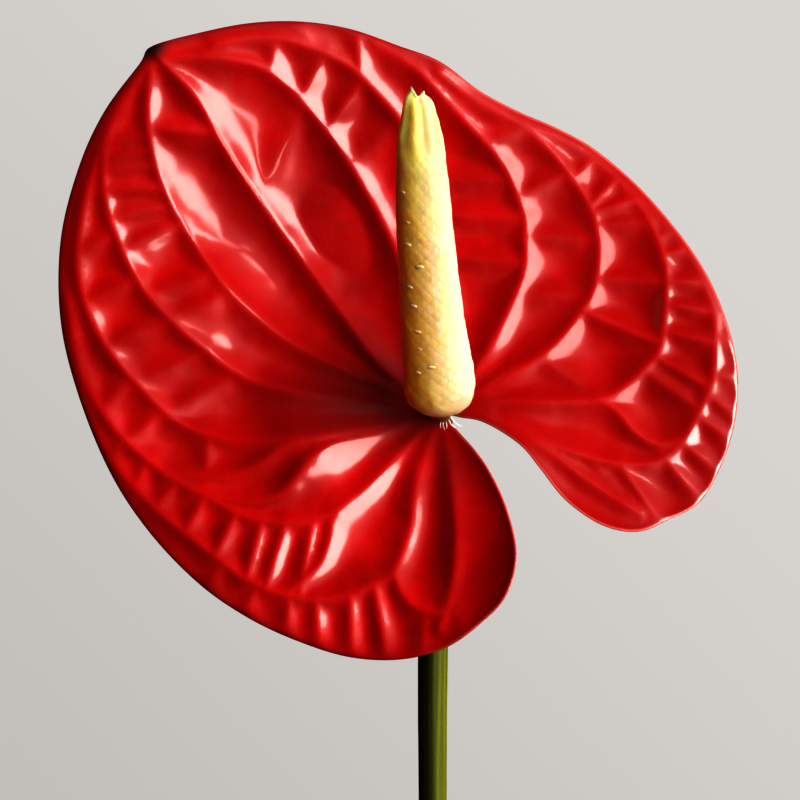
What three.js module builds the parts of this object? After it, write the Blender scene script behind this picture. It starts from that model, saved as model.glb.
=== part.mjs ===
import * as THREE from "three";

// An anthurium cut flower lying on its back, in millimetres. +Y runs up the stem to the top of the bloom,
// +X to the right of the bloom and +Z up from the surface that it lies on. The bloom's own measures are
// taken from the joint, where the stem, the spathe and the spadix meet. The origin is on the surface,
// under the middle of the whole flower.
const jointX = 8.4;
const jointY = 90.4;

// Spathe: the red blade. It is a skin of even thickness, whose veins stand up as sharp ridges with hollows
// between them. It lies on its lowest stretches, which are pressed flat.
const spatheThickness = 0.8;
const hollowDepth = 4.2;
const hollowReach = 4.4;
const crestRadius = 0.8;
const marginFade = 3.0;
const curlReach = 4;
const funnelDepth = 5;
const funnelRadius = 11;
const calmRadius = 14;
const calmShare = 0.5;
const formSoftness = 20;
const steepestStretch = 1.9;

// Spathe mesh: steps along the margin and the ridges, and between the points that fill the hollows. Points
// on ridges and in hollows keep their distance from the margin, and no point comes closer to another than
// its share of the step.
const marginStep = 2.3;
const marginRows = [1.2, 2.7];
const rowCrowding = 0.55;
const rowDepthShare = 0.9;
const ridgeStep = 2.4;
const ridgeInset = 1;
const ridgeCrowding = 0.6;
const fillStep = 2.9;
const fillInset = 1.5;
const fillCrowding = 0.62;

// The margin from the notch at the joint, round the left lobe, the tip, the top and the right lobe:
// x, y, and how far its last few millimetres curl up, or down where the number is negative.
const spatheMargin = [
  [1.2, 0.2, 0], [4, -3.2, 0.2], [7, -6.6, 0.4], [10, -11, 0.8], [13.2, -18.2, 1], [15, -27, 0.6],
  [13, -35, 0], [8, -40.6, -1], [1, -45.6, -2], [-8, -48, -2.6], [-18, -47.6, -3], [-28, -44.6, -3.2],
  [-38, -40, -3.2],
  [-48, -33.2, -3.2], [-58, -23, -3.4], [-66, -11, -3.4], [-72.4, 4.4, -3.4], [-76, 19.4, -3.4],
  [-76, 35.4, -3.4], [-72.4, 49.8, -3.4], [-67.2, 61, -3], [-60, 70.6, -2], [-57.6, 74, -1.4],
  [-48, 76.8, -2.2], [-38, 78.8, -2.6], [-28, 79.2, -2.8], [-18, 77.8, -2.8], [-8, 74.4, -2.8],
  [0, 71.4, -2.8], [8, 65.6, -2.8], [16, 61.4, -3], [24, 58, -3], [32, 53.4, -3], [42, 44.4, -3],
  [52, 31.4, -3], [57.4, 19.4, -2.8], [59.6, 7.4, -2.6], [58, -4.6, -2.2], [52.4, -16.2, -1.8],
  [45, -20.6, -1.6], [39, -22.8, -1.6], [32, -21.4, -1.4], [25, -16.6, -1.2], [20, -10.4, -0.8],
  [16.4, -6, -0.4], [12, -2.8, -0.2], [8, -0.8, 0], [4.6, -0.2, 0],
];

// Heights that the blade passes through before its curl, ridges and funnel: x, y, z.
const spatheForm = [
  [0, 0, 14], [-57.6, 74, 14], [-67, 61, 13.4], [-76, 30, 11.5], [-72, 4, 12.6], [-58, -23, 16.6],
  [-38, -40, 21.4], [-8, -48, 24.8], [15, -27, 28], [6, -6, 16], [-28, 79, 11.5], [0, 71, 8], [16, 61, 5.8],
  [32, 53, 3.5], [52, 31, 8], [59.6, 7, 13], [52, -16, 16], [39, -22.8, 20], [25, -16.6, 19],
  [15, -4.6, 16], [-50, 35, 8.2], [-30, 30, 4.1], [-20, 55, 4.9], [-40, 0, 11], [-25, -20, 18],
  [0, -25, 20.5], [-24, -9, 18.5], [-11, -3, 11.5], [20, 30, 7], [36, 15, 9.2], [30, -5, 15],
  [-45, 56, 11.5], [-33, 50, 6], [-45, 24, 10.5], [-37, 34, 5.6],
];

// Veins, as points along each ridge. All that start at the hub fan out from the joint.
const hub = [0.2, 0.9];
const veins = {
  midrib: [
    hub, [-11, 9.2], [-20.8, 22.2], [-29, 33.4], [-36.8, 44.4], [-43.6, 54.8], [-49.2, 64.4], [-57.6, 72.8],
  ],
  left1: [
    hub, [-19, 9.6], [-29.6, 14.8], [-37, 20.4], [-44.2, 27.8], [-51, 37.4], [-56, 47.4], [-58.2, 56.4],
    [-58.4, 64.4], [-57.8, 71.4],
  ],
  left2: [
    hub, [-20, 3.8], [-32, 5.8], [-40, 8.4], [-47, 13.4], [-54, 19.4], [-60.6, 27.4], [-65.6, 38.4],
    [-67.4, 47.4], [-66.8, 56.4], [-64, 62.8], [-59, 69.8],
  ],
  left3: [
    hub, [-10, -1.6], [-20, -3.2], [-30, -4.4], [-38, -4.8], [-45.4, -3.8], [-53, -0.6], [-60, 6],
    [-65.6, 12.4], [-70, 19.8], [-72.4, 27.4], [-72.6, 34.4], [-71.2, 43.4], [-68.4, 52.4], [-64.4, 61.8],
  ],
  left4: [
    [-74.8, 23.4], [-73.6, 14.4], [-71, 6.4], [-65, -2.6], [-55, -11.2], [-45, -16.6], [-40, -19.4],
    [-34, -20.8], [-27, -20.8], [-20.8, -19.2],
  ],
  elbow: [
    hub, [-11, -2.6], [-21, -5.2], [-25.6, -8], [-28.4, -11.4], [-31, -14.6], [-35, -16.6], [-41, -16.8],
    [-50, -14.2],
  ],
  fork: [[-55, -11.2], [-46, -12], [-40, -11], [-35.6, -8.8], [-31.6, -5.8], [-28, -4.4]],
  lobeRib: [hub, [-6.4, -5.2], [-14, -13.6], [-20.8, -19.2], [-22.2, -24.6], [-24.4, -29.6], [-31, -35.4]],
  leftRim: [
    [-73.6, 8.4], [-70, -2.2], [-66, -9], [-57, -18.2], [-51, -23], [-45, -27.6], [-39, -32], [-32, -35],
    [-25, -36.2], [-18, -35.2], [-9.4, -31.2],
  ],
  lobe1: [hub, [-4, -9.6], [-5.4, -16.6], [-6.2, -22.6], [-9.4, -31.2]],
  lobeHook: [[-9.4, -31.2], [-7.6, -35], [-4.8, -37.8], [-0.8, -38.6], [1.4, -36.6]],
  lobe2: [hub, [2, -10.6], [3, -20.6], [2.8, -28.6], [1.4, -36.6], [-0.4, -41.6]],
  right1: [
    [-57, 71.4], [-48, 72], [-42, 71.6], [-36, 70], [-31, 66.6], [-27, 62.6], [-19, 52.2], [-11, 38],
    [-4.4, 21.4], hub,
  ],
  right2: [
    [-45, 74.6], [-38, 75.8], [-30, 75.4], [-20, 71.4], [-15, 67.4], [-8, 59.4], [-4, 50.4], [-1.2, 39.4],
    [0.2, 23.4], hub,
  ],
  right3: [
    [-13, 75.4], [-8, 72.2], [-3, 68.2], [5.4, 59], [12.6, 50.8], [16.6, 41.4], [17.2, 35.4],
    [16.8, 29.4], [14.8, 23.8], [9, 12.4], hub,
  ],
  right4: [
    [17, 59], [24, 51.8], [30, 42.8], [31.6, 37.4], [32, 32.4], [31.2, 27], [29, 22], [21.6, 13.2],
    [10, 6.6], hub,
  ],
  right5: [
    [32, 52], [35.6, 48.4], [41.4, 41], [45, 31.8], [45.4, 25.4], [44.2, 14.4], [41.6, 10.4], [38, 7],
    [34, 4.2], [28, 3.2], [12, 2.8], hub,
  ],
  rightRim: [
    [0, 69], [5, 65], [10, 62.4], [16, 59.4], [27, 55], [32, 52], [40, 45], [48, 36.4], [51.4, 31.8],
    [54.6, 22.4], [55.2, 16.4], [55, 10.4], [53.8, 5.4], [49, -4.2], [45.6, -7.6], [41, -9.4],
    [32, -8.6], [20, -4.6], [14, -1.6], hub,
  ],
  rightLoop: [[32, 3.6], [35.6, 1], [39, -3], [43.6, -5.4], [48.6, -4.8]],
  rightLobe: [hub, [8, 0], [15, -3], [22, -7], [28, -11.6], [34, -15.6], [40, -19.2]],
};

// Cross ridges from one line to another: the share of the way along each line, and how far the ridge lies
// below the veins' crests.
const crossRidges = [
  ["left1", "midrib", [[0.86, 0.78, 1]]],
  ["left2", "left1", [
    [0.85, 0.85, 1], [0.82, 0.82, 1], [0.8, 0.79, 1], [0.77, 0.74, 0.7], [0.72, 0.7, 1], [0.66, 0.66, 1],
    [0.57, 0.54, 1.4], [0.51, 0.49, 1.8],
  ]],
  ["left3", "left2", [[0.76, 0.69, 1], [0.68, 0.6, 1], [0.6, 0.51, 1], [0.52, 0.43, 1.4], [0.45, 0.36, 1.4]]],
  ["left4", "left3", [[0.29, 0.53, 1.2], [0.4, 0.46, 1], [0.65, 0.38, 1.2]]],
  ["leftRim", "left4", [
    [0.22, 0.39, 1.2], [0.3, 0.48, 1], [0.37, 0.57, 0.8], [0.46, 0.65, 0.6], [0.55, 0.74, 0.4],
    [0.64, 0.81, 0.3], [0.69, 0.87, 0.3], [0.77, 0.94, 0.4],
  ]],
  ["margin", "leftRim", [
    [0.23, 0.58, 0.8], [0.21, 0.67, 0.6], [0.19, 0.75, 0.3], [0.175, 0.81, 0.3], [0.16, 0.89, 0.3],
    [0.145, 0.95, 0.3],
  ]],
  ["margin", "lobeHook", [[0.13, 0.66, 1], [0.11, 1, 1.4]]],
  ["midrib", "right1", [[0.61, 0.32, 2.5]]],
  ["right1", "right2", [[0.23, 0.12, 1], [0.31, 0.22, 1], [0.39, 0.31, 1], [0.47, 0.42, 1.8]]],
  ["margin", "right2", [[0.55, 0.2, 1], [0.58, 0.3, 0.7]]],
  ["margin", "right3", [[0.6, 0.07, 1]]],
  ["right2", "right3", [[0.54, 0.43, 1.4], [0.61, 0.52, 1], [0.69, 0.62, 1]]],
  ["right3", "rightRim", [[0.2, 0.09, 1.4]]],
  ["right3", "right4", [[0.33, 0.02, 1], [0.47, 0.17, 1], [0.56, 0.36, 1.4], [0.69, 0.51, 1.8]]],
  ["right4", "rightRim", [[0.19, 0.23, 0.7]]],
  ["right4", "right5", [
    [0.27, 0.06, 0.4], [0.29, 0.12, 0.4], [0.32, 0.18, 1], [0.46, 0.32, 0.9], [0.55, 0.46, 0.5],
    [0.71, 0.65, 1.4],
  ]],
  ["right5", "rightRim", [
    [0.22, 0.37, 0.7], [0.26, 0.4, 0.5], [0.32, 0.45, 0.5], [0.37, 0.49, 0.5], [0.43, 0.53, 0.5],
    [0.49, 0.59, 0.5], [0.53, 0.62, 1],
  ]],
  ["margin", "rightRim", [
    [0.78, 0.47, 0.7], [0.8, 0.52, 0.7], [0.815, 0.57, 0.7], [0.83, 0.6, 0.5], [0.84, 0.63, 0.5],
    [0.855, 0.67, 0.5], [0.87, 0.7, 0.5], [0.89, 0.76, 0.5],
  ]],
  ["rightLobe", "rightRim", [[0.93, 0.8, 1.4]]],
];

// Spadix: the spike in front of the spathe, on a short neck. Its axis, its radius by distance along it,
// the rows of florets that cover it, and the two points that it ends in, of which one is taller.
const spadixAxis = [
  [0, 0.9, 11.4], [0.1, 0.6, 13.8], [0.2, 0.8, 16.2], [0.2, 2.2, 17.8], [-0.2, 7.2, 20.2], [-1.9, 23, 28.2],
  [-3.5, 42.5, 37.3], [-4.5, 62.8, 46.2],
];
const spadixRadius = [
  [0, 2], [6.4, 2.1], [6.9, 3.4], [7.5, 4.7], [8.3, 5.8], [9.4, 6.5], [10.8, 6.9], [12.8, 7.05], [22.5, 6.5],
  [36.4, 5.85], [50.6, 5.45], [57.6, 5], [64.6, 4.6], [68, 4], [71, 3.3], [72.6, 2.6], [73.5, 1.4],
];
const spadixBaseRows = [0, 2.6, 4.8, 6.4, 6.9, 7.5, 8.3, 9.4, 10.8];
const floretsFrom = 8;
const floretsBlend = 3;
const flutesFrom = 60;
const tipBlend = 7;
const floretColumns = 14;
const floretStep = 1.4;
const floretHeight = 0.6;
const fluteCount = 7;
const fluteTurn = 0.93;
const fluteShare = 0.1;
const pointReach = 4;
const pointHeight = 1.1;
const pointLean = 0.6;
const notchDepth = 0.4;

// Stem: from its cut end on the surface to the back of the spathe, where it turns up to the joint. Its end,
// like the spadix's, lies this far from the blade.
const seatGap = 0.4;
const stemPath = [
  [3, -260, 2.76], [0.6, -200, 2.9], [-0.8, -130, 3.3], [-1.4, -80, 3.7], [-1.4, -48, 4],
  [-0.8, -24, 4.3], [-0.5, -10, 4.8], [-0.4, -4, 6.2], [-0.4, -1, 8.6],
];
const stemRadius = [[0, 2.85], [180, 2.75], [215, 3], [250, 3.1], [262, 2.9]];
const stemSides = 12;
const stemSteps = 44;

function curveThrough(points, closed = false) {
  const places = points.map(([x, y, z = 0]) => new THREE.Vector3(x, y, z));
  return new THREE.CatmullRomCurve3(places, closed, "catmullrom", 0.5);
}

function valueAt(table, place) {
  const next = table.findIndex(([at]) => at >= place);
  if (next <= 0) return table[next === 0 ? 0 : table.length - 1][1];
  const [fromAt, from] = table[next - 1];
  const [toAt, to] = table[next];
  const share = (place - fromAt) / (toAt - fromAt);
  return from + (to - from) * share;
}

// A thin plate bent through given heights. It is found by solving for the weight of each point.
function plateThrough(heights, softness) {
  const bend = (squared) => squared * Math.log(squared + 1e-9);
  const count = heights.length;
  const rows = heights.map(([x, y, z], row) => {
    const line = heights.map(([otherX, otherY]) => bend((x - otherX) ** 2 + (y - otherY) ** 2));
    line[row] += softness;
    return [...line, 1, x, y, z];
  });
  for (const pick of [() => 1, ([x]) => x, ([, y]) => y]) {
    rows.push([...heights.map(pick), 0, 0, 0, 0]);
  }
  const weights = solveRows(rows);
  return (x, y) => {
    let height = weights[count] + weights[count + 1] * x + weights[count + 2] * y;
    heights.forEach(([pointX, pointY], index) => {
      height += weights[index] * bend((x - pointX) ** 2 + (y - pointY) ** 2);
    });
    return height;
  };
}

function solveRows(rows) {
  const size = rows.length;
  for (let column = 0; column < size; column += 1) {
    let best = column;
    for (let row = column; row < size; row += 1) {
      if (Math.abs(rows[row][column]) > Math.abs(rows[best][column])) best = row;
    }
    [rows[column], rows[best]] = [rows[best], rows[column]];
    for (let row = 0; row < size; row += 1) {
      if (row === column) continue;
      const factor = rows[row][column] / rows[column][column];
      for (let item = column; item <= size; item += 1) rows[row][item] -= factor * rows[column][item];
    }
  }
  return rows.map((row, index) => row[size] / row[index]);
}

// The nearest place of a chain of points: its distance and its share of the way along.
function nearestOn(chain, x, y) {
  let nearest = Infinity;
  let share = 0;
  for (let index = 0; index + 1 < chain.length; index += 1) {
    const start = chain[index];
    const alongX = chain[index + 1].x - start.x;
    const alongY = chain[index + 1].y - start.y;
    const dot = (x - start.x) * alongX + (y - start.y) * alongY;
    const part = Math.min(1, Math.max(0, dot / (alongX ** 2 + alongY ** 2)));
    const gap = Math.hypot(x - start.x - part * alongX, y - start.y - part * alongY);
    if (gap < nearest) {
      nearest = gap;
      share = (index + part) / (chain.length - 1);
    }
  }
  return { distance: nearest, share };
}

function insideOf(chain, x, y) {
  let inside = false;
  for (let index = 0; index + 1 < chain.length; index += 1) {
    const start = chain[index];
    const end = chain[index + 1];
    if (start.y > y === end.y > y) continue;
    if (x < start.x + ((y - start.y) * (end.x - start.x)) / (end.y - start.y)) inside = !inside;
  }
  return inside;
}

const marginCurve = curveThrough(spatheMargin.map(([x, y]) => [x, y]), true);
const marginChain = marginCurve.getPoints(spatheMargin.length * 8);
const veinCurves = { margin: marginCurve };
for (const [name, points] of Object.entries(veins)) veinCurves[name] = curveThrough(points);

// Every ridge as a chain of points, with its drop below the crests.
function listRidges() {
  const ridges = Object.entries(veins).map(([name, points]) => {
    return { chain: veinCurves[name].getPoints(points.length * 5), drop: 0 };
  });
  for (const [from, to, shares] of crossRidges) {
    for (const [fromShare, toShare, drop] of shares) {
      const ends = [veinCurves[from].getPointAt(fromShare), veinCurves[to].getPointAt(toShare)];
      ridges.push({ chain: ends, drop });
    }
  }
  return ridges;
}

const ridges = listRidges();
const formHeight = plateThrough(spatheForm, formSoftness);

// How far the blade lies below its crests: nothing on a ridge, and the whole depth in a wide hollow.
function hollowAt(x, y, marginGap, hubGap) {
  let closeness = 0;
  for (const { chain, drop } of ridges) {
    const { distance } = nearestOn(chain, x, y);
    closeness += (distance ** 2 + drop ** 2 + crestRadius ** 2) ** -2;
  }
  const ridgeGap = closeness ** -0.25;
  const fade = 1 - Math.exp(-marginGap / marginFade);
  const calm = 1 - calmShare * Math.exp(-((hubGap / calmRadius) ** 2));
  return hollowDepth * (1 - Math.exp(-ridgeGap / hollowReach)) * fade * calm;
}

function spatheFront(x, y) {
  const { distance, share } = nearestOn(marginChain, x, y);
  const place = share * spatheMargin.length;
  const before = spatheMargin[Math.floor(place) % spatheMargin.length][2];
  const after = spatheMargin[(Math.floor(place) + 1) % spatheMargin.length][2];
  const curl = before + (after - before) * (place % 1);
  const hubGap = Math.hypot(x - hub[0], y - hub[1]);
  const funnel = funnelDepth * Math.exp(-((hubGap / funnelRadius) ** 2));
  const height = formHeight(x, y) - funnel + curl * Math.exp(-distance / curlReach);
  return Math.max(spatheThickness, height - hollowAt(x, y, distance, hubGap));
}

// The back lies one thickness behind the front, measured square to the blade, and never below the surface.
function spatheBack(x, y, front) {
  const step = 0.3;
  const slopeX = (spatheFront(x + step, y) - front) / step;
  const slopeY = (spatheFront(x, y + step) - front) / step;
  const stretch = Math.min(steepestStretch, Math.hypot(1, slopeX, slopeY));
  return Math.max(0, front - spatheThickness * stretch);
}

// Points of the blade's mesh: on the margin and in rows inside it, on the ridges, and in the hollows.
function spreadPoints() {
  const points = [];
  const addInside = (x, y, inset, clearance) => {
    if (!insideOf(marginChain, x, y) || nearestOn(marginChain, x, y).distance < inset) return;
    const isCrowded = points.some((other) => Math.hypot(other.x - x, other.y - y) < clearance);
    if (!isCrowded) points.push({ x, y });
  };
  const marginCount = Math.round(marginCurve.getLength() / marginStep);
  const loop = marginCurve.getSpacedPoints(marginCount).slice(0, marginCount);
  loop.forEach(({ x, y }) => points.push({ x, y }));
  marginRows.forEach((inset) => {
    loop.forEach((place, index) => {
      const next = loop[(index + 1) % marginCount];
      const before = loop[(index + marginCount - 1) % marginCount];
      const along = new THREE.Vector2(next.x - before.x, next.y - before.y).normalize();
      const x = place.x + along.y * inset;
      const y = place.y - along.x * inset;
      addInside(x, y, inset * rowDepthShare, inset * rowCrowding);
    });
  });
  for (const { chain } of ridges) {
    const line = curveThrough(chain.map(({ x, y }) => [x, y]));
    const count = Math.max(2, Math.round(line.getLength() / ridgeStep));
    for (const { x, y } of line.getSpacedPoints(count)) {
      addInside(x, y, ridgeInset, ridgeStep * ridgeCrowding);
    }
  }
  const rowStep = fillStep * Math.sin(Math.PI / 3);
  const box = new THREE.Box2().setFromPoints(loop);
  let shift = 0;
  for (let y = box.min.y; y < box.max.y; y += rowStep) {
    shift = fillStep / 2 - shift;
    for (let x = box.min.x + shift; x < box.max.x; x += fillStep) {
      addInside(x, y, fillInset, fillStep * fillCrowding);
    }
  }
  return points;
}

// Delaunay triangles of scattered points, so that neighbours along a ridge are joined to each other.
function joinPoints(points) {
  const far = 1e4;
  const all = [...points, { x: -far, y: -far }, { x: far, y: -far }, { x: 0, y: far }];
  const withCircle = (a, b, c) => {
    const [p, q, r] = [all[a], all[b], all[c]];
    const cross = 2 * (p.x * (q.y - r.y) + q.x * (r.y - p.y) + r.x * (p.y - q.y));
    const [pp, qq, rr] = [p, q, r].map((place) => place.x ** 2 + place.y ** 2);
    const x = (pp * (q.y - r.y) + qq * (r.y - p.y) + rr * (p.y - q.y)) / cross;
    const y = (pp * (r.x - q.x) + qq * (p.x - r.x) + rr * (q.x - p.x)) / cross;
    return { corners: [a, b, c], x, y, reach: (p.x - x) ** 2 + (p.y - y) ** 2 };
  };
  let triangles = [withCircle(points.length, points.length + 1, points.length + 2)];
  points.forEach(({ x, y }, index) => {
    const edges = new Map();
    triangles = triangles.filter((triangle) => {
      if ((triangle.x - x) ** 2 + (triangle.y - y) ** 2 > triangle.reach) return true;
      const [a, b, c] = triangle.corners;
      for (const [from, to] of [[a, b], [b, c], [c, a]]) {
        if (!edges.delete(`${to},${from}`)) edges.set(`${from},${to}`, [from, to]);
      }
      return false;
    });
    for (const [from, to] of edges.values()) triangles.push(withCircle(from, to, index));
  });
  return triangles.map(({ corners }) => corners).filter((corners) => Math.max(...corners) < points.length);
}

function makeSpathe() {
  const points = spreadPoints();
  const middleOf = (corners, axis) => corners.reduce((sum, corner) => sum + points[corner][axis], 0) / 3;
  const faces = joinPoints(points).filter((corners) => {
    return insideOf(marginChain, middleOf(corners, "x"), middleOf(corners, "y"));
  });
  const count = points.length;
  const places = points.map(({ x, y }) => new THREE.Vector3(x, y, spatheFront(x, y)));
  const backs = places.map(({ x, y, z }) => new THREE.Vector3(x, y, spatheBack(x, y, z)));
  const rim = new Map();
  const triangles = [];
  for (const [a, b, c] of faces) {
    triangles.push(a, b, c, c + count, b + count, a + count);
    for (const [from, to] of [[a, b], [b, c], [c, a]]) {
      if (!rim.delete(`${to},${from}`)) rim.set(`${from},${to}`, [from, to]);
    }
  }
  for (const [from, to] of rim.values()) {
    triangles.push(to, from, from + count, to, from + count, to + count);
  }
  return solidOf([...places, ...backs], triangles);
}

function solidOf(places, triangles) {
  const geometry = new THREE.BufferGeometry().setFromPoints(places);
  geometry.setIndex(triangles);
  geometry.computeVertexNormals();
  return geometry;
}

// Rings of equal size joined into a closed skin, with a middle point at each end.
function skinOf(rings, start, end) {
  const sides = rings[0].length;
  const places = [...rings.flat(), start, end];
  const triangles = [];
  for (let ring = 0; ring + 1 < rings.length; ring += 1) {
    for (let side = 0; side < sides; side += 1) {
      const a = ring * sides + side;
      const b = ring * sides + ((side + 1) % sides);
      const [c, d] = [a + sides, b + sides];
      if ((ring + side) % 2 === 0) triangles.push(a, c, b, b, c, d);
      else triangles.push(a, d, b, a, c, d);
    }
  }
  const last = (rings.length - 1) * sides;
  for (let side = 0; side < sides; side += 1) {
    const next = (side + 1) % sides;
    triangles.push(places.length - 2, side, next);
    triangles.push(places.length - 1, last + next, last + side);
  }
  return solidOf(places, triangles);
}

// A place on a curve with the two directions square to it, the second of them upward.
function frameAt(curve, share) {
  const middle = curve.getPointAt(share);
  const along = curve.getTangentAt(share);
  const aside = new THREE.Vector3(0, 0, 1).cross(along).normalize().negate();
  const up = aside.clone().cross(along);
  return { middle, along, aside, up };
}

// Florets are low pyramids in a diamond net. Towards the tip they give way to lengthwise flutes, and the
// last stretch rises to a point on either side of a notch.
function spadixRing(curve, length, distance, row) {
  const columns = floretColumns * 2;
  const { middle, along, aside, up } = frameAt(curve, Math.min(1, distance / length));
  const radius = valueAt(spadixRadius, distance);
  const flutes = THREE.MathUtils.smoothstep(distance, flutesFrom, flutesFrom + tipBlend);
  const cover = THREE.MathUtils.smoothstep(distance, floretsFrom, floretsFrom + floretsBlend) * (1 - flutes);
  const rise = pointHeight * THREE.MathUtils.smoothstep(distance, length - pointReach, length);
  return Array.from({ length: columns }, (_, column) => {
    const angle = (2 * Math.PI * column) / columns;
    const isFloret = (row + column) % 2 === 0;
    const bump = isFloret ? floretHeight * cover : 0;
    const wave = Math.sin(((angle - fluteTurn) * fluteCount) / 2) ** 2;
    const spread = radius * (1 - flutes * fluteShare * wave) + bump;
    const lean = 1 - pointLean * Math.cos(angle);
    return middle.clone()
      .addScaledVector(aside, spread * Math.cos(angle))
      .addScaledVector(up, spread * Math.sin(angle))
      .addScaledVector(along, rise * lean * Math.cos(angle) ** 2);
  });
}

const seatOnFront = (x, y) => spatheFront(x, y) + seatGap;
const seatUnderBack = (x, y) => spatheBack(x, y, spatheFront(x, y)) - seatGap;

// The places of an end that meets the blade, moved up or down onto its seat.
function seated(places, seat) {
  return places.map(({ x, y }) => new THREE.Vector3(x, y, seat(x, y)));
}

function makeSpadix() {
  const curve = curveThrough(spadixAxis);
  const length = curve.getLength();
  const baseEnd = spadixBaseRows[spadixBaseRows.length - 1];
  const rowCount = Math.round((length - baseEnd) / floretStep);
  const bodyRows = Array.from({ length: rowCount }, (_, row) => {
    return baseEnd + ((length - baseEnd) * (row + 1)) / rowCount;
  });
  const rows = [...spadixBaseRows, ...bodyRows];
  const rings = rows.map((distance, row) => spadixRing(curve, length, distance, row));
  rings[0] = seated(rings[0], seatOnFront);
  const [start] = seated([curve.getPoint(0)], seatOnFront);
  const tip = frameAt(curve, 1);
  const end = tip.middle.clone().addScaledVector(tip.along, -notchDepth);
  return skinOf(rings, start, end);
}

function makeStem() {
  const curve = curveThrough(stemPath);
  const length = curve.getLength();
  const rings = Array.from({ length: stemSteps + 1 }, (_, step) => {
    const share = step / stemSteps;
    const { middle, aside, up } = frameAt(curve, share);
    const radius = valueAt(stemRadius, share * length);
    return Array.from({ length: stemSides }, (unused, side) => {
      const angle = (2 * Math.PI * (side + 0.5)) / stemSides;
      return middle.clone()
        .addScaledVector(aside, radius * Math.cos(angle))
        .addScaledVector(up, radius * Math.sin(angle));
    });
  });
  rings[stemSteps] = seated(rings[stemSteps], seatUnderBack);
  const [end] = seated([curve.getPoint(1)], seatUnderBack);
  return skinOf(rings, curve.getPoint(0), end);
}

const spatheMaterial = new THREE.MeshStandardMaterial({ color: "#c40a10", roughness: 0.25, metalness: 0 });
const spadixMaterial = new THREE.MeshStandardMaterial({ color: "#ecd58a", roughness: 0.55, metalness: 0 });
const stemMaterial = new THREE.MeshStandardMaterial({ color: "#4d5f22", roughness: 0.5, metalness: 0 });

function namedMesh(name, geometry, material) {
  const mesh = new THREE.Mesh(geometry, material);
  mesh.name = name;
  return mesh;
}

const bloom = new THREE.Group();
bloom.position.set(jointX, jointY, 0);
bloom.add(
  namedMesh("spathe", makeSpathe(), spatheMaterial),
  namedMesh("spadix", makeSpadix(), spadixMaterial),
  namedMesh("stem", makeStem(), stemMaterial),
);

const flower = new THREE.Group();
flower.add(bloom);

export default flower;
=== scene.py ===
import math
from itertools import product

import bpy
import numpy as np
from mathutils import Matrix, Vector, noise
from mathutils.geometry import delaunay_2d_cdt


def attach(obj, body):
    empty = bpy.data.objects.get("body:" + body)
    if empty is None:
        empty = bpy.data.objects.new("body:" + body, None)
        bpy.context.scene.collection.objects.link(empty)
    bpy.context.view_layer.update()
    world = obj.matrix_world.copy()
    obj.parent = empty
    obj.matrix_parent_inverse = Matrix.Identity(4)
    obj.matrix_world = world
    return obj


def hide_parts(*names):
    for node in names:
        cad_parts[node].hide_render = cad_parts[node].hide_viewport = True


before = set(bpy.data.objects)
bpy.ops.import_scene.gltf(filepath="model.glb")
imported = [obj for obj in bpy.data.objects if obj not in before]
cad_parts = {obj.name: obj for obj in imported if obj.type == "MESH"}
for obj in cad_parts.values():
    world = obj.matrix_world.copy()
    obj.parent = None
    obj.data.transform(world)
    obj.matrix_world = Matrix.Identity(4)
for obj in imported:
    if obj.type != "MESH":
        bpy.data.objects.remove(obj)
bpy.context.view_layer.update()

# The bloom's own measures are in millimetres from the joint of stem, spathe and spadix.
joint = (8.4, 90.4)
millimetre = 0.001


def toMetres(points):
    points = np.asarray(points, float)
    return (points + np.array([joint[0], joint[1], 0.0])) * millimetre


def makeMeshObject(name, points, faces=(), edges=(), smooth=True):
    mesh = bpy.data.meshes.new(name)
    mesh.from_pydata(toMetres(points).tolist(), list(edges), [list(face) for face in faces])
    mesh.validate()
    if smooth and len(mesh.polygons):
        mesh.polygons.foreach_set("use_smooth", [True] * len(mesh.polygons))
    mesh.update()
    piece = bpy.data.objects.new(name, mesh)
    bpy.context.scene.collection.objects.link(piece)
    return piece


def addAttribute(piece, name, values, kind="FLOAT"):
    layer = piece.data.attributes.new(name, kind, "POINT")
    field = "value" if kind == "FLOAT" else "vector"
    layer.data.foreach_set(field, np.asarray(values, np.float32).ravel())


def skinFaces(rows, sides, startIndex=None, endIndex=None):
    faces = []
    for row, side in product(range(rows - 1), range(sides)):
        a = row * sides + side
        b = row * sides + (side + 1) % sides
        faces.append((a, b, b + sides, a + sides))
    for side in range(sides):
        following = (side + 1) % sides
        if startIndex is not None:
            faces.append((startIndex, following, side))
        if endIndex is not None:
            faces.append((endIndex, (rows - 1) * sides + side, (rows - 1) * sides + following))
    return faces


def smoothStep(value, low, high):
    share = np.clip((value - low) / (high - low), 0, 1)
    return share * share * (3 - 2 * share)


def noiseAt(places, scale, seed):
    shift = Vector((seed * 7.3, seed * 3.1, seed * 5.7))
    return np.array([noise.noise(Vector(place) / scale + shift) for place in places])


# Curves

def curvePoints(points, steps, closed=False):
    places = np.array(points, float)
    if closed:
        padded = np.vstack([places[-1], places, places[0], places[1]])
    else:
        padded = np.vstack([2 * places[0] - places[1], places, 2 * places[-1] - places[-2]])
    share = np.linspace(0, 1, steps, endpoint=False)[:, None]
    stretches = []
    for index in range(1, len(padded) - 2):
        before, start, end, after = padded[index - 1:index + 3]
        stretches.append(0.5 * (
            2 * start + (end - before) * share + (2 * before - 5 * start + 4 * end - after) * share ** 2
            + (3 * start - before - 3 * end + after) * share ** 3
        ))
    line = np.vstack(stretches)
    return np.vstack([line, line[0] if closed else places[-1]])


def lengthsAlong(line):
    return np.concatenate([[0], np.cumsum(np.linalg.norm(np.diff(line, axis=0), axis=1))])


def placeAt(line, distance):
    lengths = lengthsAlong(line)
    return np.stack([np.interp(distance, lengths, line[:, axis]) for axis in range(line.shape[1])], axis=-1)


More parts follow.
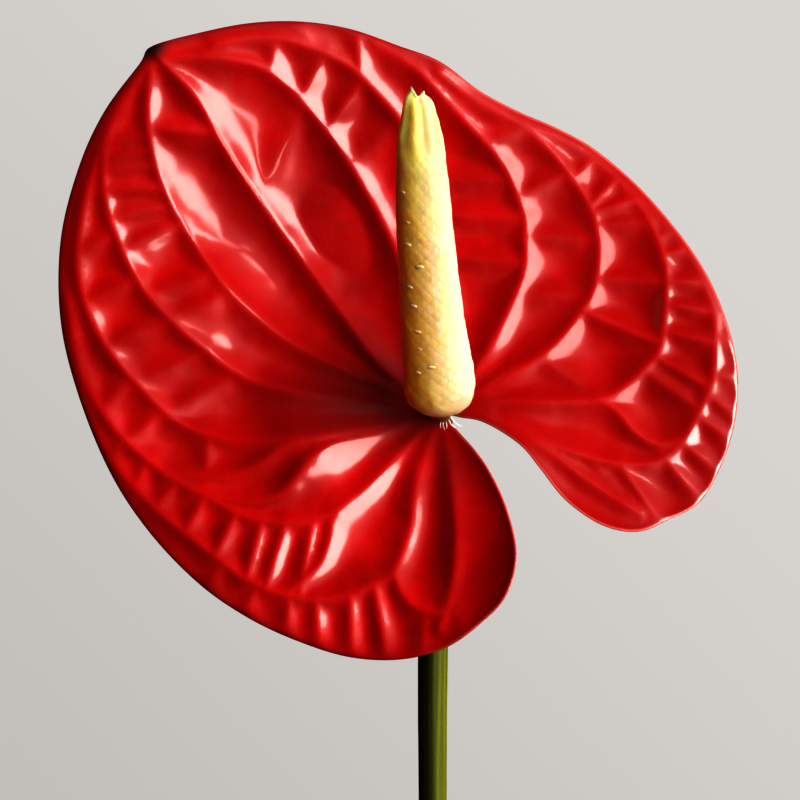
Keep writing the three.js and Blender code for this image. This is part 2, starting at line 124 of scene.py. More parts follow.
def evenPoints(line, step):
    total = lengthsAlong(line)[-1]
    count = max(2, round(total / step))
    return placeAt(line, np.linspace(0, total, count + 1))


def asideOf(line, offset, closed=False):
    run = np.roll(line, -1, axis=0) - np.roll(line, 1, axis=0) if closed else np.gradient(line, axis=0)
    return line + offset * np.stack([run[:, 1], -run[:, 0]], axis=1) / np.linalg.norm(run, axis=1)[:, None]


def nearestOn(chain, x, y):
    nearest = np.full(x.shape, np.inf)
    share = np.zeros(x.shape)
    for index in range(len(chain) - 1):
        start = chain[index]
        along = chain[index + 1] - start
        part = ((x - start[0]) * along[0] + (y - start[1]) * along[1]) / (along @ along)
        part = np.clip(part, 0, 1)
        gap = (x - start[0] - part * along[0]) ** 2 + (y - start[1] - part * along[1]) ** 2
        closer = gap < nearest
        nearest = np.where(closer, gap, nearest)
        share = np.where(closer, (index + part) / (len(chain) - 1), share)
    return np.sqrt(nearest), share


def insideOf(chain, x, y):
    inside = np.zeros(x.shape, bool)
    for start, end in zip(chain[:-1], chain[1:]):
        if start[1] == end[1]:
            continue
        crossing = start[0] + (y - start[1]) * (end[0] - start[0]) / (end[1] - start[1])
        inside ^= ((start[1] > y) != (end[1] > y)) & (x < crossing)
    return inside


frameReach = 0.1  # how far ahead and behind the direction of a line is taken


def framesAlong(line, distances):
    middles = placeAt(line, distances)
    ahead = placeAt(line, distances + frameReach)
    behind = placeAt(line, distances - frameReach)
    along = (ahead - behind) / np.linalg.norm(ahead - behind, axis=1)[:, None]
    aside = -np.cross([0, 0, 1], along)
    aside /= np.linalg.norm(aside, axis=1)[:, None]
    up = np.cross(aside, along)
    return middles, along, aside, up


# Spathe: the red blade with its raised veins

spatheLook = {
    "thickness": 0.8,
    "hollowDepth": 4.2,
    "hollowReach": 4.4,
    "crestRadius": 0.8,
    "marginFade": 3.0,
    "curlReach": 4.0,
    "funnelDepth": 5.0,
    "funnelRadius": 11.0,
    "calmRadius": 14.0,
    "calmShare": 0.5,
    "formSoftness": 20.0,
    "steepestStretch": 1.9,
    "rimRadius": 0.42,
    "pointStep": 0.8,
    "rimRows": [0.1, 0.25, 0.5, 0.9, 1.4],
    "rimInset": 0.85,
    "rimSpacing": 0.55,
    "crestRows": [0.0, 0.45, -0.45, 1.0, -1.0],
    "crestStep": 0.9,
    "crestSpacing": 0.32,
    "openSpacing": 0.6,
    # Patches of painted shadow of the spadix near the joint: x, y, reach along x and y, and how dark
    "paintedShadowPatches": [(-13, 3, 17, 8, 0.85), (2, -8.5, 5, 8, 0.6)],
    "wrinkles": [(7.0, 0.16), (3.2, 0.06)],
    "wrinkleSeed": 3,
    "wrinklesFromHub": (6, 26),
    "wrinklesFromMargin": (0, 3),
}

# The margin from the notch at the joint, round the left lobe, the tip, the top and the right lobe:
# x, y, and how far its last few millimetres curl up, or down where the number is negative.
spatheMargin = [
    (1.2, 0.2, 0), (4, -3.2, 0.2), (7, -6.6, 0.4), (10, -11, 0.8), (13.2, -18.2, 1), (15, -27, 0.6),
    (13, -35, 0), (8, -40.6, -1), (1, -45.6, -2), (-8, -48, -2.6), (-18, -47.6, -3), (-28, -44.6, -3.2),
    (-38, -40, -3.2), (-48, -33.2, -3.2), (-58, -23, -3.4), (-66, -11, -3.4), (-72.4, 4.4, -3.4),
    (-76, 19.4, -3.4), (-76, 35.4, -3.4), (-72.4, 49.8, -3.4), (-67.2, 61, -3), (-60, 70.6, -2),
    (-57.6, 74, -1.4), (-48, 76.8, -2.2), (-38, 78.8, -2.6), (-28, 79.2, -2.8), (-18, 77.8, -2.8),
    (-8, 74.4, -2.8), (0, 71.4, -2.8), (8, 65.6, -2.8), (16, 61.4, -3), (24, 58, -3), (32, 53.4, -3),
    (42, 44.4, -3), (52, 31.4, -3), (57.4, 19.4, -2.8), (59.6, 7.4, -2.6), (58, -4.6, -2.2),
    (52.4, -16.2, -1.8), (45, -20.6, -1.6), (39, -22.8, -1.6), (32, -21.4, -1.4), (25, -16.6, -1.2),
    (20, -10.4, -0.8), (16.4, -6, -0.4), (12, -2.8, -0.2), (8, -0.8, 0), (4.6, -0.2, 0),
]

tipIndex = 22  # the tip's place in the margin

# Heights that the blade passes through before its curl, ridges and funnel: x, y, z.
spatheForm = [
    (0, 0, 14), (-57.6, 74, 14), (-67, 61, 13.4), (-76, 30, 11.5), (-72, 4, 12.6), (-58, -23, 16.6),
    (-38, -40, 21.4), (-8, -48, 24.8), (15, -27, 28), (6, -6, 16), (-28, 79, 11.5), (0, 71, 8),
    (16, 61, 5.8), (32, 53, 3.5), (52, 31, 8), (59.6, 7, 13), (52, -16, 16), (39, -22.8, 20),
    (25, -16.6, 19), (15, -4.6, 16), (-50, 35, 8.2), (-30, 30, 4.1), (-20, 55, 4.9), (-40, 0, 11),
    (-25, -20, 18), (0, -25, 20.5), (-24, -9, 18.5), (-11, -3, 11.5), (20, 30, 7), (36, 15, 9.2),
    (30, -5, 15), (-45, 56, 11.5), (-33, 50, 6), (-45, 24, 10.5), (-37, 34, 5.6),
]

# Veins, as points along each ridge. All that start at the hub fan out from the joint.
hub = (0.2, 0.9)
veins = {
    "midrib": [
        hub, (-11, 9.2), (-20.8, 22.2), (-29, 33.4), (-36.8, 44.4), (-43.6, 54.8), (-49.2, 64.4),
        (-57.6, 72.8),
    ],
    "left1": [
        hub, (-19, 9.6), (-29.6, 14.8), (-37, 20.4), (-44.2, 27.8), (-51, 37.4), (-56, 47.4), (-58.2, 56.4),
        (-58.4, 64.4), (-57.8, 71.4),
    ],
    "left2": [
        hub, (-20, 3.8), (-32, 5.8), (-40, 8.4), (-47, 13.4), (-54, 19.4), (-60.6, 27.4), (-65.6, 38.4),
        (-67.4, 47.4), (-66.8, 56.4), (-64, 62.8), (-59, 69.8),
    ],
    "left3": [
        hub, (-10, -1.6), (-20, -3.2), (-30, -4.4), (-38, -4.8), (-45.4, -3.8), (-53, -0.6), (-60, 6),
        (-65.6, 12.4), (-70, 19.8), (-72.4, 27.4), (-72.6, 34.4), (-71.2, 43.4), (-68.4, 52.4), (-64.4, 61.8),
    ],
    "left4": [
        (-74.8, 23.4), (-73.6, 14.4), (-71, 6.4), (-65, -2.6), (-55, -11.2), (-45, -16.6), (-40, -19.4),
        (-34, -20.8), (-27, -20.8), (-20.8, -19.2),
    ],
    "elbow": [
        hub, (-11, -2.6), (-21, -5.2), (-25.6, -8), (-28.4, -11.4), (-31, -14.6), (-35, -16.6), (-41, -16.8),
        (-50, -14.2),
    ],
    "fork": [(-55, -11.2), (-46, -12), (-40, -11), (-35.6, -8.8), (-31.6, -5.8), (-28, -4.4)],
    "lobeRib": [
        hub, (-6.4, -5.2), (-14, -13.6), (-20.8, -19.2), (-22.2, -24.6), (-24.4, -29.6), (-31, -35.4),
    ],
    "leftRim": [
        (-73.6, 8.4), (-70, -2.2), (-66, -9), (-57, -18.2), (-51, -23), (-45, -27.6), (-39, -32), (-32, -35),
        (-25, -36.2), (-18, -35.2), (-9.4, -31.2),
    ],
    "lobe1": [hub, (-4, -9.6), (-5.4, -16.6), (-6.2, -22.6), (-9.4, -31.2)],
    "lobeHook": [(-9.4, -31.2), (-7.6, -35), (-4.8, -37.8), (-0.8, -38.6), (1.4, -36.6)],
    "lobe2": [hub, (2, -10.6), (3, -20.6), (2.8, -28.6), (1.4, -36.6), (-0.4, -41.6)],
    "right1": [
        (-57, 71.4), (-48, 72), (-42, 71.6), (-36, 70), (-31, 66.6), (-27, 62.6), (-19, 52.2), (-11, 38),
        (-4.4, 21.4), hub,
    ],
    "right2": [
        (-45, 74.6), (-38, 75.8), (-30, 75.4), (-20, 71.4), (-15, 67.4), (-8, 59.4), (-4, 50.4), (-1.2, 39.4),
        (0.2, 23.4), hub,
    ],
    "right3": [
        (-13, 75.4), (-8, 72.2), (-3, 68.2), (5.4, 59), (12.6, 50.8), (16.6, 41.4), (17.2, 35.4),
        (16.8, 29.4), (14.8, 23.8), (9, 12.4), hub,
    ],
    "right4": [
        (17, 59), (24, 51.8), (30, 42.8), (31.6, 37.4), (32, 32.4), (31.2, 27), (29, 22), (21.6, 13.2),
        (10, 6.6), hub,
    ],
    "right5": [
        (32, 52), (35.6, 48.4), (41.4, 41), (45, 31.8), (45.4, 25.4), (44.2, 14.4), (41.6, 10.4), (38, 7),
        (34, 4.2), (28, 3.2), (12, 2.8), hub,
    ],
    "rightRim": [
        (0, 69), (5, 65), (10, 62.4), (16, 59.4), (27, 55), (32, 52), (40, 45), (48, 36.4), (51.4, 31.8),
        (54.6, 22.4), (55.2, 16.4), (55, 10.4), (53.8, 5.4), (49, -4.2), (45.6, -7.6), (41, -9.4),
        (32, -8.6), (20, -4.6), (14, -1.6), hub,
    ],
    "rightLoop": [(32, 3.6), (35.6, 1), (39, -3), (43.6, -5.4), (48.6, -4.8)],
    "rightLobe": [hub, (8, 0), (15, -3), (22, -7), (28, -11.6), (34, -15.6), (40, -19.2)],
}

# Cross ridges from one line to another: the share of the way along each line, and how far the ridge lies
# below the veins' crests.
crossRidges = [
    ("left1", "midrib", [(0.86, 0.78, 1)]),
    ("left2", "left1", [
        (0.85, 0.85, 1), (0.82, 0.82, 1), (0.8, 0.79, 1), (0.77, 0.74, 0.7), (0.72, 0.7, 1), (0.66, 0.66, 1),
        (0.57, 0.54, 1.4), (0.51, 0.49, 1.8),
    ]),
    ("left3", "left2", [
        (0.76, 0.69, 1), (0.68, 0.6, 1), (0.6, 0.51, 1), (0.52, 0.43, 1.4), (0.45, 0.36, 1.4),
    ]),
    ("left4", "left3", [(0.29, 0.53, 1.2), (0.4, 0.46, 1), (0.65, 0.38, 1.2)]),
    ("leftRim", "left4", [
        (0.22, 0.39, 1.2), (0.3, 0.48, 1), (0.37, 0.57, 0.8), (0.46, 0.65, 0.6), (0.55, 0.74, 0.4),
        (0.64, 0.81, 0.3), (0.69, 0.87, 0.3), (0.77, 0.94, 0.4),
    ]),
    ("margin", "leftRim", [
        (0.23, 0.58, 0.8), (0.21, 0.67, 0.6), (0.19, 0.75, 0.3), (0.175, 0.81, 0.3), (0.16, 0.89, 0.3),
        (0.145, 0.95, 0.3),
    ]),
    ("margin", "lobeHook", [(0.13, 0.66, 1), (0.11, 1, 1.4)]),
    ("midrib", "right1", [(0.61, 0.32, 2.5)]),
    ("right1", "right2", [(0.23, 0.12, 1), (0.31, 0.22, 1), (0.39, 0.31, 1), (0.47, 0.42, 1.8)]),
    ("margin", "right2", [(0.55, 0.2, 1), (0.58, 0.3, 0.7)]),
    ("margin", "right3", [(0.6, 0.07, 1)]),
    ("right2", "right3", [(0.54, 0.43, 1.4), (0.61, 0.52, 1), (0.69, 0.62, 1)]),
    ("right3", "rightRim", [(0.2, 0.09, 1.4)]),
    ("right3", "right4", [(0.33, 0.02, 1), (0.47, 0.17, 1), (0.56, 0.36, 1.4), (0.69, 0.51, 1.8)]),
    ("right4", "rightRim", [(0.19, 0.23, 0.7)]),
    ("right4", "right5", [
        (0.27, 0.06, 0.4), (0.29, 0.12, 0.4), (0.32, 0.18, 1), (0.46, 0.32, 0.9), (0.55, 0.46, 0.5),
        (0.71, 0.65, 1.4),
    ]),
    ("right5", "rightRim", [
        (0.22, 0.37, 0.7), (0.26, 0.4, 0.5), (0.32, 0.45, 0.5), (0.37, 0.49, 0.5), (0.43, 0.53, 0.5),
        (0.49, 0.59, 0.5), (0.53, 0.62, 1),
    ]),
    ("margin", "rightRim", [
        (0.78, 0.47, 0.7), (0.8, 0.52, 0.7), (0.815, 0.57, 0.7), (0.83, 0.6, 0.5), (0.84, 0.63, 0.5),
        (0.855, 0.67, 0.5), (0.87, 0.7, 0.5), (0.89, 0.76, 0.5),
    ]),
    ("rightLobe", "rightRim", [(0.93, 0.8, 1.4)]),
]

fineSteps, marginSteps, ridgeSteps = 24, 8, 5  # points between two neighbours on a line
marginPlaces = [place[:2] for place in spatheMargin]
marginChain = curvePoints(marginPlaces, marginSteps, closed=True)
veinLines = {name: curvePoints(points, fineSteps) for name, points in veins.items()}
veinLines["margin"] = curvePoints(marginPlaces, fineSteps, closed=True)


def listRidges():
    ridges = [(curvePoints(points, ridgeSteps), 0.0) for points in veins.values()]
    for fromName, toName, shares in crossRidges:
        fromLine, toLine = veinLines[fromName], veinLines[toName]
        for fromShare, toShare, drop in shares:
            start = placeAt(fromLine, fromShare * lengthsAlong(fromLine)[-1])
            end = placeAt(toLine, toShare * lengthsAlong(toLine)[-1])
            ridges.append((np.array([start, end]), drop))
    return ridges


# A thin plate bent through given heights, found by solving for the weight of each point
def plateThrough(heights, softness):
    def bend(squared):
        return squared * np.log(squared + 1e-9)

    known = np.array(heights, float)
    count = len(known)
    gaps = ((known[:, None, :2] - known[None, :, :2]) ** 2).sum(-1)
    sides = np.hstack([np.ones((count, 1)), known[:, :2]])
    rows = np.vstack([
        np.hstack([bend(gaps) + softness * np.eye(count), sides]),
        np.hstack([sides.T, np.zeros((3, 3))]),
    ])
    weights = np.linalg.solve(rows, np.concatenate([known[:, 2], np.zeros(3)]))

    def heightAt(x, y):
        height = weights[count] + weights[count + 1] * x + weights[count + 2] * y
        for weight, (knownX, knownY, _) in zip(weights, known):
            height = height + weight * bend((x - knownX) ** 2 + (y - knownY) ** 2)
        return height

    return heightAt


ridges = listRidges()
formHeight = plateThrough(spatheForm, spatheLook["formSoftness"])


def ridgeGapAt(x, y):
    closeness = np.zeros(x.shape)
    for chain, drop in ridges:
        distance, _ = nearestOn(chain, x, y)
        closeness += (distance ** 2 + drop ** 2 + spatheLook["crestRadius"] ** 2) ** -2
    return closeness ** -0.25


def spatheFront(x, y):
    look = spatheLook
    marginGap, share = nearestOn(marginChain, x, y)
    place = share * len(spatheMargin)
    curls = np.array([curl for _, _, curl in spatheMargin] + [spatheMargin[0][2]])
    curl = np.interp(place, np.arange(len(curls)), curls)
    hubGap = np.hypot(x - hub[0], y - hub[1])
    ridgeGap = ridgeGapAt(x, y)
    fade = 1 - np.exp(-marginGap / look["marginFade"])
    calm = 1 - look["calmShare"] * np.exp(-(hubGap / look["calmRadius"]) ** 2)
    hollow = look["hollowDepth"] * (1 - np.exp(-ridgeGap / look["hollowReach"])) * fade * calm
    funnel = look["funnelDepth"] * np.exp(-(hubGap / look["funnelRadius"]) ** 2)
    height = formHeight(x, y) - funnel + curl * np.exp(-marginGap / look["curlReach"]) - hollow
    return height, ridgeGap, marginGap


# Keeps each place that lies no closer to those kept before it than its own clearance
def thinPlaces(fixed, places, clearances):
    cell = clearances.max()
    taken = {}

    def placesNear(column, row):
        for across, up in product((-1, 0, 1), repeat=2):
            yield from taken.get((column + across, row + up), ())

    for x, y in fixed.tolist():
        taken.setdefault((int(x // cell), int(y // cell)), []).append((x, y))
    kept = []
    for (x, y), clearance in zip(places.tolist(), clearances.tolist()):
        column, row = int(x // cell), int(y // cell)
        gaps = ((x - nearX) ** 2 + (y - nearY) ** 2 for nearX, nearY in placesNear(column, row))
        if all(gap > clearance ** 2 for gap in gaps):
            taken.setdefault((column, row), []).append((x, y))
            kept.append((x, y))
    return np.array(kept)


# Places for the blade's points, in layers: the places, how far inside the margin they lie, their clearance
def spreadPoints(step):
    look = spatheLook
    margin = evenPoints(veinLines["margin"], step)[:-1]
    inner = look["rimRows"][-1]
    layers = []
    for inset in look["rimRows"]:
        clearance = min(step, inset) * look["rimSpacing"]
        layers.append((asideOf(margin, inset, closed=True), inset * look["rimInset"], clearance))
    for offset, (chain, _) in product(look["crestRows"], ridges):
        line = evenPoints(chain, step * look["crestStep"])
        layers.append((asideOf(line, offset), inner, look["crestSpacing"]))
    low, high = margin.min(0), margin.max(0)
    rows = np.arange(low[1], high[1], step * math.sin(math.pi / 3))
    gridX, gridY = np.meshgrid(np.arange(low[0], high[0], step), rows)
    gridX = gridX + (np.arange(len(rows)) % 2)[:, None] * step / 2
    grid = np.stack([gridX.ravel(), gridY.ravel()], axis=1)
    layers.append((grid, inner, step * look["openSpacing"]))
    spots, insets, clearances = zip(*layers)
    counts = [len(layer) for layer in spots]
    places, insets, clearances = np.vstack(spots), np.repeat(insets, counts), np.repeat(clearances, counts)
    gap, _ = nearestOn(marginChain, places[:, 0], places[:, 1])
    usable = insideOf(marginChain, places[:, 0], places[:, 1]) & (gap > insets)
    return np.vstack([margin, thinPlaces(margin, places[usable], clearances[usable])]), len(margin)


def joinPlaces(places, marginCount):
    edges = [(index, (index + 1) % marginCount) for index in range(marginCount)]
    found = delaunay_2d_cdt([Vector(place) for place in places], edges, [], 0, 1e-7)
    flat = np.array([tuple(place) for place in found[0]])
    faces = np.array(found[2])
    middles = flat[faces].mean(axis=1)
    faces = faces[insideOf(veinLines["margin"], middles[:, 0], middles[:, 1])]
    turned = np.cross(flat[faces[:, 1]] - flat[faces[:, 0]], flat[faces[:, 2]] - flat[faces[:, 0]])
    faces[turned < 0] = faces[turned < 0][:, ::-1]
    isMargin = np.array([any(origin < marginCount for origin in origins) for origins in found[3]])
    return flat, faces, isMargin


def stretchOf(points, faces):
    corners = points[faces]
    square = np.cross(corners[:, 1] - corners[:, 0], corners[:, 2] - corners[:, 0])
    total = np.zeros(points.shape)
    for corner in range(3):
        np.add.at(total, faces[:, corner], square)
    return np.minimum(spatheLook["steepestStretch"], np.linalg.norm(total, axis=1) / total[:, 2])


# Painted shadow of the spadix on the front near the joint: darker and duller there
def paintedShadowAt(x, y):
    paintedShadow = np.zeros(x.shape)
    for middleX, middleY, reachX, reachY, amount in spatheLook["paintedShadowPatches"]:
        patch = amount * np.exp(-((x - middleX) / reachX) ** 2 - ((y - middleY) / reachY) ** 2)
        paintedShadow = np.maximum(paintedShadow, patch)
    return paintedShadow


def makeSpathe():
    look = spatheLook
    places, marginCount = spreadPoints(look["pointStep"])
    flat, faces, isMargin = joinPlaces(places, marginCount)
    x, y = flat[:, 0], flat[:, 1]
    front, ridgeGap, marginGap = spatheFront(x, y)
    level = np.stack([x, y, 0 * x], axis=1)
    hubGap = np.hypot(x - hub[0], y - hub[1])
    wrinkled = smoothStep(hubGap, *look["wrinklesFromHub"])
    wrinkled = wrinkled * smoothStep(marginGap, *look["wrinklesFromMargin"])
    for scale, height in look["wrinkles"]:
        front = front + height * wrinkled * noiseAt(level, scale, look["wrinkleSeed"])
    front = np.maximum(look["thickness"], front)
    depth = look["thickness"] * stretchOf(np.stack([x, y, front], axis=1), faces)
    inset = np.where(isMargin, 0, np.minimum(marginGap, look["rimRadius"]))
    bulge = np.sqrt(1 - (1 - inset / look["rimRadius"]) ** 2)
    middle = front - depth / 2
    backZ = np.maximum(0, middle - bulge * depth / 2)
    frontZ = np.maximum(middle + bulge * depth / 2, backZ)
    backIndex = np.arange(len(flat))
    inner = np.flatnonzero(~isMargin)
    backIndex[inner] = len(flat) + np.arange(len(inner))
    allPoints = np.vstack([
        np.stack([x, y, frontZ], axis=1),
        np.stack([x[inner], y[inner], backZ[inner]], axis=1),
    ])
    allFaces = np.vstack([faces, backIndex[faces[:, ::-1]]])
    spathe = makeMeshObject("spatheBlade", allPoints, allFaces.tolist())
    tipX, tipY, _ = spatheMargin[tipIndex]
    gaps = {"veinGap": ridgeGap, "marginGap": marginGap, "tipGap": np.hypot(x - tipX, y - tipY)}
    for name, gap in gaps.items():
        addAttribute(spathe, name, np.concatenate([gap, gap[inner]]))
    addAttribute(spathe, "back", np.concatenate([0 * x, np.ones(len(inner))]))
    # Painted shadow of the spadix, on the front only
    addAttribute(spathe, "paintedShadow", np.concatenate([paintedShadowAt(x, y), np.zeros(len(inner))]))
    print("spathe triangles", len(allFaces))
    return spathe


# Geometry node trees, shared by the pieces that use them

def newTree(name, sockets):
    tree = bpy.data.node_groups.new(name, "GeometryNodeTree")
    tree.interface.new_socket("Geometry", in_out="INPUT", socket_type="NodeSocketGeometry")
    for label, kind in sockets.items():
        tree.interface.new_socket(label, in_out="INPUT", socket_type="NodeSocket" + kind)
    tree.interface.new_socket("Geometry", in_out="OUTPUT", socket_type="NodeSocketGeometry")
    return tree, tree.nodes.new("NodeGroupInput"), tree.nodes.new("NodeGroupOutput")


def plugIn(tree, node, values):
    for name, value in values.items():
        if isinstance(value, bpy.types.NodeSocket):
            tree.links.new(value, node.inputs[name])
        else:
            node.inputs[name].default_value = value


def addNode(tree, kind, inputs=None, **settings):
    node = tree.nodes.new(kind)
    for name, value in settings.items():
        setattr(node, name, value)
    plugIn(tree, node, inputs or {})
    return node


def mathOf(tree, operation, first, second=0.0):
    return addNode(tree, "ShaderNodeMath", {0: first, 1: second}, operation=operation).outputs[0]


def savedValue(tree, name, kind="FLOAT"):
    node = addNode(tree, "GeometryNodeInputNamedAttribute", {"Name": name}, data_type=kind)
    return node.outputs["Attribute"]


def runTree(piece, tree, values):
    modifier = piece.modifiers.new(tree.name, "NODES")
    modifier.node_group = tree
    for item in tree.interface.items_tree:
        if item.in_out == "INPUT" and item.name in values:
            modifier[item.identifier] = values[item.name]
    bpy.context.view_layer.update()
    grown = piece.evaluated_get(bpy.context.evaluated_depsgraph_get())
    mesh = bpy.data.meshes.new_from_object(grown)
    piece.modifiers.remove(modifier)
    start = piece.data
    piece.data = mesh
    bpy.data.meshes.remove(start)
    print(piece.name, "from", tree.name, len(mesh.polygons), "faces")


# Small rounded studs, one on each point, that stand on the surface along the attribute "facing"
def makeStudTree():
    tree, given, result = newTree("studs", {
        "Width": "Float", "Length": "Float", "Height": "Float", "Variation": "Float", "Seed": "Int",
        "Material": "Material",
    })
    ball = addNode(tree, "GeometryNodeMeshUVSphere", {"Segments": 8, "Rings": 5, "Radius": 0.5})
    size = addNode(tree, "ShaderNodeCombineXYZ", {
        "X": given.outputs["Length"], "Y": given.outputs["Width"], "Z": given.outputs["Height"],
    })
    shaped = addNode(tree, "GeometryNodeTransform", {
        "Geometry": ball.outputs["Mesh"], "Scale": size.outputs[0],
    })
    upright = addNode(tree, "FunctionNodeAlignRotationToVector", {
        "Vector": savedValue(tree, "facing", "FLOAT_VECTOR"),
    })
    upright.axis = "Z"
    turned = addNode(tree, "FunctionNodeAlignRotationToVector", {
        "Rotation": upright.outputs[0], "Vector": savedValue(tree, "across", "FLOAT_VECTOR"),
    })
    turned.axis, turned.pivot_axis = "X", "Z"
    smallest = mathOf(tree, "SUBTRACT", 1.0, given.outputs["Variation"])
    largest = mathOf(tree, "ADD", 1.0, given.outputs["Variation"])
    scale = addNode(tree, "FunctionNodeRandomValue", {
        2: smallest, 3: largest, "Seed": given.outputs["Seed"],
    })
    placed = addNode(tree, "GeometryNodeInstanceOnPoints", {
        "Points": given.outputs["Geometry"], "Instance": shaped.outputs["Geometry"],
        "Rotation": turned.outputs[0], "Scale": scale.outputs[1],
    })
    real = addNode(tree, "GeometryNodeRealizeInstances", {"Geometry": placed.outputs["Instances"]})
    smooth = addNode(tree, "GeometryNodeSetShadeSmooth", {"Geometry": real.outputs["Geometry"]})
    covered = addNode(tree, "GeometryNodeSetMaterial", {
        "Geometry": smooth.outputs["Geometry"], "Material": given.outputs["Material"],
    })
    tree.links.new(covered.outputs["Geometry"], result.inputs["Geometry"])
    return tree


# A stalk swept along each line of edges, as thick as the attribute "reach" says, with lengthwise ribs
def makeStalkTree():
    tree, given, result = newTree("stalk", {
        "Sides": "Int", "Ribs": "Float", "Rib height": "Float", "Waver": "Float", "Waver scale": "Float",
        "Material": "Material",
    })
    line = addNode(tree, "GeometryNodeMeshToCurve", {"Mesh": given.outputs["Geometry"]})
    share = addNode(tree, "GeometryNodeSplineParameter")
    kept = addNode(tree, "GeometryNodeStoreNamedAttribute", {
        "Geometry": line.outputs["Curve"], "Name": "alongShare", "Value": share.outputs["Factor"],
    })
    ring = addNode(tree, "GeometryNodeCurvePrimitiveCircle", {
        "Resolution": given.outputs["Sides"], "Radius": 1.0,
    })
    marked = addNode(tree, "GeometryNodeStoreNamedAttribute", {
        "Geometry": ring.outputs["Curve"], "Name": "around", "Value": share.outputs["Factor"],
    })
    swept = addNode(tree, "GeometryNodeCurveToMesh", {
        "Curve": kept.outputs["Geometry"], "Profile Curve": marked.outputs["Geometry"],
        "Scale": savedValue(tree, "reach"), "Fill Caps": True,
    })
    turn = mathOf(tree, "MULTIPLY", savedValue(tree, "around"), 2 * math.pi)
    phase = mathOf(tree, "MULTIPLY", turn, given.outputs["Ribs"])
    rib = mathOf(tree, "MULTIPLY", mathOf(tree, "SINE", phase), given.outputs["Rib height"])
    place = addNode(tree, "GeometryNodeInputPosition")
    cloud = addNode(tree, "ShaderNodeTexNoise", {
        "Vector": place.outputs[0], "Scale": given.outputs["Waver scale"], "Detail": 2.0,
    })
    waver = mathOf(tree, "MULTIPLY", mathOf(tree, "SUBTRACT", cloud.outputs[0], 0.5), given.outputs["Waver"])
    square = addNode(tree, "GeometryNodeInputNormal")
    offset = addNode(tree, "ShaderNodeVectorMath", {
        0: square.outputs[0], "Scale": mathOf(tree, "ADD", rib, waver),
    }, operation="SCALE")
    moved = addNode(tree, "GeometryNodeSetPosition", {
        "Geometry": swept.outputs["Mesh"], "Offset": offset.outputs[0],
    })
    real = addNode(tree, "GeometryNodeRealizeInstances", {"Geometry": moved.outputs["Geometry"]})
    covered = addNode(tree, "GeometryNodeSetMaterial", {
        "Geometry": real.outputs["Geometry"], "Material": given.outputs["Material"],
    })
    tree.links.new(covered.outputs["Geometry"], result.inputs["Geometry"])
    return tree


studTree = makeStudTree()
stalkTree = makeStalkTree()


# Spadix: the spike of florets, with a fluted tip that ends in two points

spadixLook = {
    "axis": [
        (0, 0.9, 11.4), (0.1, 0.6, 13.8), (0.2, 0.8, 16.2), (0.2, 2.2, 17.8), (-0.2, 7.2, 20.2),
        (-1.9, 23, 28.2), (-3.5, 42.5, 37.3), (-4.5, 62.8, 46.2),
    ],
    "radius": [
        (0, 2), (6.4, 2.1), (6.8, 3.5), (7.3, 4.9), (8.0, 6.0), (9.1, 6.7), (10.6, 7.0), (12.8, 7.1),
        (22.5, 6.5), (36.4, 5.85), (50.6, 5.45), (57.6, 5), (64.6, 4.6), (68, 4), (71, 3.3), (72.6, 2.6),
        (73.5, 1.4),
    ],
    "axisSteps": 40,
    "radiusSteps": 12,
    "sides": 120,
    "rowStep": 0.3,
    "seatGap": 0.4,
    "floretsFrom": 8.0,
    "floretBlend": 3,
    "floretColumns": 17,
    "floretStep": 1.2,
    "floretHeight": 0.08,
    "grooveFrom": 0.3,
    "flutesFrom": 60,
    "tipBlend": 7,
    "fluteCount": 7,
    "fluteTurn": 0.93,
    "fluteShare": 0.1,
    "pointReach": 4,
    "pointHeight": 1.1,
    "pointLean": 0.6,
    "pointSharpness": 1.2,
    "pointUndercut": 1.2,
    "notchDepth": 0.8,
    "tipStep": 0.2,
    "lumps": [(8.0, 0.2), (2.4, 0.13)],
    "lumpRise": (6, 9),
    "footLumps": (2.2, 0.2),
    "footRise": (6.6, 8),
    "footFade": (10, 24),
    "lumpSeed": 4,
    "studsFrom": 10.0,
    "studSize": (0.38, 0.34, 0.1),
    "nubRange": (8, 62, 0.2),
    "nubTurns": 160,
    "nubEdge": 0.2,
    "nubSize": (1.6, 0.75, 0.65),
    "studSunk": 0.2,
    "studVariation": 0.3,
    "studSeed": 11,
}

# Florets whose stigma stands out, as seen from above: x, y.
nubPlaces = [
    (-7.6, 43.8), (-6.6, 38), (-6.6, 33.8), (-4.2, 29.4), (-6.2, 25.6), (-5.4, 21.8), (-4.6, 16.8),
    (-4.2, 13.4), (-1.8, 9.8), (-4.5, 8.8),
]

spadixLine = curvePoints(spadixLook["axis"], spadixLook["axisSteps"])
spadixLength = lengthsAlong(spadixLine)[-1]


